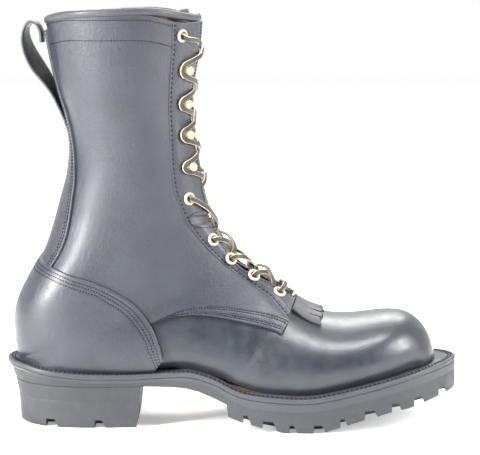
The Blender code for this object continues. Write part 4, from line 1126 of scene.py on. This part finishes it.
def side_rings(top, bottom, inset_top, inset_bottom, corner=0.3, low_corner=0.3, bulge=0.0):
    """Rings of a slab's side with rounded corners and parting grooves."""
    rings = [(blend_inset(inset_top, inset_bottom, 0, corner), top)]
    for share in (0.03, 0.12, 0.3, 0.5, 0.7, 0.88, 0.97):
        extra = -bulge * np.sin(np.pi * share)
        extra += 0.25 * corner * (share < 0.1) + 0.25 * low_corner * (share > 0.9)
        inset = blend_inset(inset_top, inset_bottom, share, extra)
        rings.append((inset, between(top, bottom, share)))
    rings.append((blend_inset(inset_top, inset_bottom, 1, low_corner), bottom))
    return rings


def wedge(centre, size, flare):
    """A box whose front bottom edge stands forward."""
    x, y, z = np.array(size) / 2
    signs = [(i, j, k) for k in (-1, 1) for j in (-1, 1) for i in (-1, 1)]
    corners = np.array(signs) * (x, y, z) + centre
    corners[[1, 3], 0] += flare
    faces = [(0, 2, 3, 1), (4, 5, 7, 6), (0, 1, 5, 4), (2, 6, 7, 3), (0, 4, 6, 2), (1, 3, 7, 5)]
    return piece("wedge", corners, faces, RUBBER, body=None)


def notches(places, ground, depth, inset):
    cutters = []
    for x, width in places:
        for side in (-1, 1):
            line = edge_line(side, inset)
            edge = np.interp(x, line[:, 0], line[:, 1])
            beside_edge = edge - side * (NOTCH_REACH / 2 - NOTCH_BESIDE)
            centre = (x, beside_edge, ground(x) + (depth - NOTCH_BELOW) / 2)
            size = (width, NOTCH_REACH + 2 * NOTCH_BESIDE, depth + NOTCH_BELOW)
            cutters.append(wedge(centre, size, NOTCH_FLARE))
    return cutters


def slant(verts):
    """Leans the heel's front face back towards the ground."""
    verts = np.array(verts)
    near = step(verts[:, 0], -74, BREAST_X)
    verts[:, 0] -= near * (0.6 + 3.4 * np.clip((27 - verts[:, 2]) / 27, 0, 1))
    return verts


SEAT = 0.02          # how far each layer overlaps the parting line above it


def make_sole():
    x = rows_between(HEEL_END, TOE_END, 240, CORNERS)
    waist, rim, middle, low = (heel_taper(amount) for amount in (2.6, 5.6, 7.6, 9.0))
    rings = side_rings(welt_under(WELT_BASE - SEAT), midsole_bottom, none, waist, 0.15, 0.1)
    lofted("midsole_layer", x, rings, WELT, ["midsole"], "edge_leather")
    rings = side_rings(lambda v: midsole_bottom(v) - SEAT, tread, waist, rim, 0.1, 0.9)
    sole = lofted("outsole_rubber", x, rings, RUBBER, ["outsole"], "black_rubber")
    carve(sole, notches(NOTCHES, tread, LUG_DEPTH, rim))
    x = x[x < BREAST_X]
    base = lambda v: none(v) + HEEL_LIFT_TOP
    rings = side_rings(lambda v: heel_top(v) + GAP - SEAT, base, rim, middle, 0.1, 0.15)
    lofted("heel_base_rubber", x, rings, RUBBER, ["heel_base"], "black_rubber", slant)
    rings = side_rings(lambda v: base(v) - SEAT, none, middle, low, 0.15, 0.8)
    lift = lofted("heel_lift_rubber", x, rings, RUBBER, ["heel_lift"], "black_rubber", slant)
    carve(lift, notches(HEEL_NOTCHES, none, LUG_DEPTH, low))


# --- Hardware -----------------------------------------------------------------------------
def turned(name, profile, sides, look, place, axis, stands_for=(), slot=None, stretch=1.0):
    """A profile of (radius, height) turned about the axis at place; closed rings keep a bore."""
    closed = profile[0][0] > 0
    turn = Vector(axis).to_track_quat("Z", "Y").to_matrix()
    verts, rings = [], []
    for radius, height in profile:
        ring = []
        for k in range(sides if radius > 0 else 1):
            angle = 2 * np.pi * k / sides
            ring.append(len(verts))
            point = Vector((radius * np.cos(angle), stretch * radius * np.sin(angle), height))
            verts.append(np.array(turn @ point) + place)
        rings.append(ring)
    faces = []
    for low, high in list(zip(rings, rings[1:])) + ([(rings[-1], rings[0])] if closed else []):
        for k in range(sides):
            m = (k + 1) % sides
            if len(low) == 1:
                faces.append((low[0], high[k], high[m]))
            elif len(high) == 1:
                faces.append((low[k], low[m], high[0]))
            else:
                faces.append((low[k], low[m], high[m], high[k]))
    return piece(name, verts, faces, look, stands_for=stands_for, slot=slot, sharp=0.9)


EYELET_SHAPE = [
    (2.5, -4.0), (3.0, -4.0), (3.0, 0.0), (4.5, 0.0), (4.6, 0.35), (4.4, 0.9), (3.9, 1.35),
    (3.3, 1.45), (2.8, 1.2), (2.55, 0.6),
]
HOOK_SHAPE = [
    (0.0, -2.8), (1.4, -2.8), (1.4, 0.1), (3.5, 0.1), (3.6, 0.5), (3.2, 0.95), (2.0, 1.2),
    (1.35, 1.7), (1.2, 3.2), (1.5, 4.2), (2.6, 4.6), (3.4, 5.0), (3.6, 5.6), (3.3, 6.2),
    (2.4, 6.4), (1.1, 6.0), (0.0, 5.9),
]


def make_hardware():
    kinds = (
        ("eyelet", EYELET_PLACES, "_ring", EYELET_SHAPE, 32, EYELET, "cream_eyelet", 1.0),
        ("hook", HOOK_PLACES, "_head", HOOK_SHAPE, 28, BRASS, "brass", 0.86),
    )
    for side, flip in SIDES:
        for kind, places, ending, shape, sides, look, slot, stretch in kinds:
            for number, (x, z) in enumerate(places, 1):
                point, axis = skin_point(locate(x, z, FACING_OUT), flip, FACING_OUT)
                name = f"{kind}_{side}_{number}"
                turned(name + ending, shape, sides, look, point, axis, [name], slot, stretch)


# --- Pull loop and lace -------------------------------------------------------------------
def banded(name, centres, wide, thick, half_wide, half_thick, look, side_mark=None, **options):
    """A band with rounded edges along centres; wide and thick are unit directions."""
    turn = np.linspace(0, 2 * np.pi, 20, endpoint=False)
    cosine, sine = np.cos(turn), np.sin(turn)
    across = half_wide * np.sign(cosine) * np.abs(cosine) ** 0.45
    through = half_thick * np.sign(sine) * np.abs(sine) ** 0.6
    verts = centres[:, None] + wide[:, None] * across[None, :, None]
    verts = verts + thick[:, None] * through[None, :, None]
    count = len(centres)
    faces = tube_faces(count, len(turn))
    marks = {"edge": np.tile(half_wide - np.abs(across), count),
             "side": np.tile(step(np.abs(cosine), 0.60, 0.78) if side_mark else 0 * cosine, count)}
    return piece(name, verts.reshape(-1, 3), faces, look, marks=marks, **options)


def make_pull_loop(count=150):
    path = smooth_curve(PULL_LOOP + [(-117.2, 212.0), (-113.5, 200.0)], count)
    along = np.gradient(path, axis=0)
    along /= np.linalg.norm(along, axis=1, keepdims=True)
    share = np.linspace(0, 1, count)
    twist = 0.42 * np.sin(np.pi * np.clip((share - 0.12) / 0.7, 0, 1)) ** 2
    centre = np.column_stack([path[:, 0], np.zeros(count), path[:, 1]])
    normal = np.column_stack([-along[:, 1], np.zeros(count), along[:, 0]])
    across = np.array([0.0, 1.0, 0.0])
    wide = across * np.cos(twist)[:, None] + normal * np.sin(twist)[:, None]
    thick = normal * np.cos(twist)[:, None] - across * np.sin(twist)[:, None]
    banded("pull_loop_strap", centre, wide, thick, STRAP_WIDTH / 2, STRAP_THICK / 2, STRAP,
           stands_for=["pull_loop"], slot="black_leather")


LACE_BELOW = -0.9    # heights of the lace's middle: under the facings, over an eyelet, round a hook
LACE_OVER = 7.6
LACE_AROUND = 7.3
SECTION_STEP = 20.5  # millimetres between two sections at the shaft
RISE = [(0.13, -0.9), (0.22, -0.5), (0.34, 0.8), (0.5, 1.6), (0.66, 3.9), (0.79, 6.8)]
LEVEL = [(0.2, 6.9), (0.34, 4.6), (0.5, 3.6), (0.66, 4.6), (0.79, 6.9)]
ROUND_HOOK = [(4.4, 1.6), (3.0, -2.6), (0.0, -4.2), (-3.0, -2.6), (-4.4, 1.6)]


def diagonal(here, there, heights, lift):
    """(u, a, out) points of a strand from one side to the other, lifted where two strands cross."""
    (u0, a0), (u1, a1) = here, there
    return [(u0 + (u1 - u0) * t, a0 + (a1 - a0) * t, out + lift * (1 - abs(2 * t - 1)))
            for t, out in heights]


def beside(u, a, down, forward, out):
    """A point near (u, a), moved by millimetres down the boot and towards the ridge."""
    turn = forward / (np.pi * half_at(np.array([u]))[0])
    return u + down / SECTION_STEP, a - np.sign(a) * turn, out


def laced(flip, lift):
    """Half the lace, from the middle of the lowest bar to its end inside the collar."""
    stations = lace_stations()
    _, u, a = stations[0]
    points = [(u, 0.0, 5.6), (u, a * flip * 0.45, 5.8), (u, a * flip * 0.75, LACE_OVER - 0.6)]
    points.append(beside(u, a * flip, 0.0, 2.2, LACE_OVER - 0.6))
    points += [(u, a * flip, 5.2), (u, a * flip, LACE_BELOW)]
    here, below = (u, a * flip), True
    for number, (kind, u, a) in enumerate(stations[1:]):
        side = flip if number % 2 else -flip
        there = (u, a * side)
        aim = there if kind == "eyelet" else beside(u, a * side, 4.4, 0.0, 0)[:2]
        points += diagonal(here, aim, RISE if below else LEVEL, lift)
        if kind == "eyelet":
            points.append(beside(u, a * side, 1.6, 2.0, LACE_OVER))
            points += [(u, a * side, 5.6), (u, a * side, LACE_BELOW)]
            below, here = True, there
        else:
            points += [beside(u, a * side, *move, LACE_AROUND) for move in ROUND_HOOK]
            below, here = False, beside(u, a * side, -4.4, 0.0, 0)[:2]
    u, a = here
    tucked = ((3.0, -1.0, -1), (12.0, -2.0, -2), (30.0, -2.0, -2))
    return points + [beside(u, a, down, ahead, LACE_BELOW + low) for down, ahead, low in tucked]


def make_lace():
    one, other = laced(1, 1.3), laced(-1, -1.3)
    route = other[:0:-1] + one
    centres = np.array([skin(u, a, out) for u, a, out in route])
    fine = catmull(centres, np.arange(0, len(centres) - 0.99, 0.125))
    for _ in range(3):
        fine[1:-1] = 0.5 * fine[1:-1] + 0.25 * (fine[:-2] + fine[2:])
    along = np.gradient(fine, axis=0)
    along /= np.linalg.norm(along, axis=1, keepdims=True)
    faces_out = np.array([last_normal(u, a) for u, a, _ in route]) + (0.0, -0.9, 0.0)
    aims = catmull(faces_out, np.arange(0, len(centres) - 0.99, 0.125))
    up = aims[0]
    wide, thick = [], []
    for ahead, aim in zip(along, aims):
        up = up + 0.12 * (aim if aim @ up > 0 else -aim)
        across = np.cross(ahead, up)
        across /= np.linalg.norm(across)
        up = np.cross(across, ahead)
        wide.append(across)
        thick.append(up)
    banded("rawhide_lace", fine, np.array(wide), np.array(thick), 1.7, 0.95, LACE, True,
           stands_for=["lace"], slot="rawhide_lace")


# --- Scene --------------------------------------------------------------------------------
def finish_nodes():
    """Node materials for the solids that stay."""
    looks = {"insole": LINING, "heel_pad": LINING, "cork_filler": CORK, "steel_shank": STEEL,
             "arch_patch": TAN, "counter_stiffener": BOARD}
    looks.update({f"heel_screw_{k}": STEEL for k in range(1, 5)})
    for name, look in looks.items():
        nodes[name].data.materials[0] = look


def softbox(name, place, aim, size, power):
    data = bpy.data.lights.new(name, "AREA")
    data.shape = "RECTANGLE"
    data.size, data.size_y = size
    data.energy = power
    light = bpy.data.objects.new(name, data)
    light.location = place
    light.visible_camera = False
    light.rotation_euler = (Vector(aim) - Vector(place)).to_track_quat("-Z", "Y").to_euler()
    bpy.context.scene.collection.objects.link(light)


SOFTBOXES = [    # (name, place, aim, size, watts)
    ("left_box", (-1.5, -0.95, 0.80), (0, 0, 0.18), (0.40, 1.3), 105.0),
    ("right_box", (1.75, -0.62, 0.95), (-0.05, 0, 0.2), (0.45, 1.1), 56.0),
    ("top_box", (0.28, -0.52, 1.9), (0.03, 0, 0.08), (1.0, 0.45), 36.0),
    ("back_box", (0.12, 1.15, 1.2), (0.05, 0, 0.08), (1.2, 0.5), 20.0),
]
CAMERA_PLACE = (0.0053, -1.360, 0.300)
CAMERA_AIM = (0.0053, 0.0, 0.1364)
LENS = 144.7
FLOOR_HALF = 6
FLOOR_GLOW = 0.32
ROOM_FRONT = 0.28    # the room's light on the boot's lateral side, where behind it is 1


def light_room(tree):
    """A room that is dimmer on the boot's lateral side, and looks white to the camera."""
    background = tree.nodes["Background"]
    background.inputs["Color"].default_value = (1.0, 1.0, 1.0, 1.0)
    place = tree.nodes.new("ShaderNodeTexCoord")
    split = tree.nodes.new("ShaderNodeSeparateXYZ")
    tree.links.new(place.outputs["Generated"], split.inputs["Vector"])
    room = tree.nodes.new("ShaderNodeMapRange")
    span = {"From Min": -0.5, "From Max": 0.5, "To Min": ROOM_FRONT, "To Max": 1.0}
    for key, value in span.items():
        room.inputs[key].default_value = value
    tree.links.new(split.outputs["Y"], room.inputs["Value"])
    path = tree.nodes.new("ShaderNodeLightPath")
    seen = tree.nodes.new("ShaderNodeMath")
    seen.operation = "MAXIMUM"
    tree.links.new(path.outputs["Is Camera Ray"], seen.inputs[0])
    tree.links.new(room.outputs["Result"], seen.inputs[1])
    tree.links.new(seen.outputs["Value"], background.inputs["Strength"])


def make_studio():
    scene = bpy.context.scene
    world = bpy.data.worlds.new("studio")
    world.use_nodes = True
    light_room(world.node_tree)
    scene.world = world
    scene.view_settings.view_transform = "Standard"
    mesh = bpy.data.meshes.new("floor")
    far = FLOOR_HALF
    corners = [(-far, -far, 0), (far, -far, 0), (far, far, 0), (-far, far, 0)]
    mesh.from_pydata(corners, [], [(0, 1, 2, 3)])
    look = Look("studio_floor", 0.9)
    look.colour(look.mix(look.noise(2.0), (0.93, 0.93, 0.935), (0.95, 0.95, 0.955)))
    look.shader.inputs["Emission Color"].default_value = (1.0, 1.0, 1.0, 1.0)
    look.shader.inputs["Emission Strength"].default_value = FLOOR_GLOW
    mesh.materials.append(look.made)
    floor = bpy.data.objects.new("floor", mesh)
    scene.collection.objects.link(floor)
    for lamp in SOFTBOXES:
        softbox(*lamp)
    data = bpy.data.cameras.new("camera")
    data.sensor_width = 36.0
    data.lens = LENS
    camera = bpy.data.objects.new("camera", data)
    camera.location = CAMERA_PLACE
    view = Vector(CAMERA_AIM) - camera.location
    camera.rotation_euler = view.to_track_quat("-Z", "Y").to_euler()
    scene.collection.objects.link(camera)
    scene.camera = camera


make_studio()
make_quarters()
make_facings()
make_counter()
make_backstay()
make_binding()
make_vamp()
make_tongue()
make_kiltie()
make_welt()
make_sole()
make_hardware()
make_pull_loop()
make_lace()
finish_nodes()
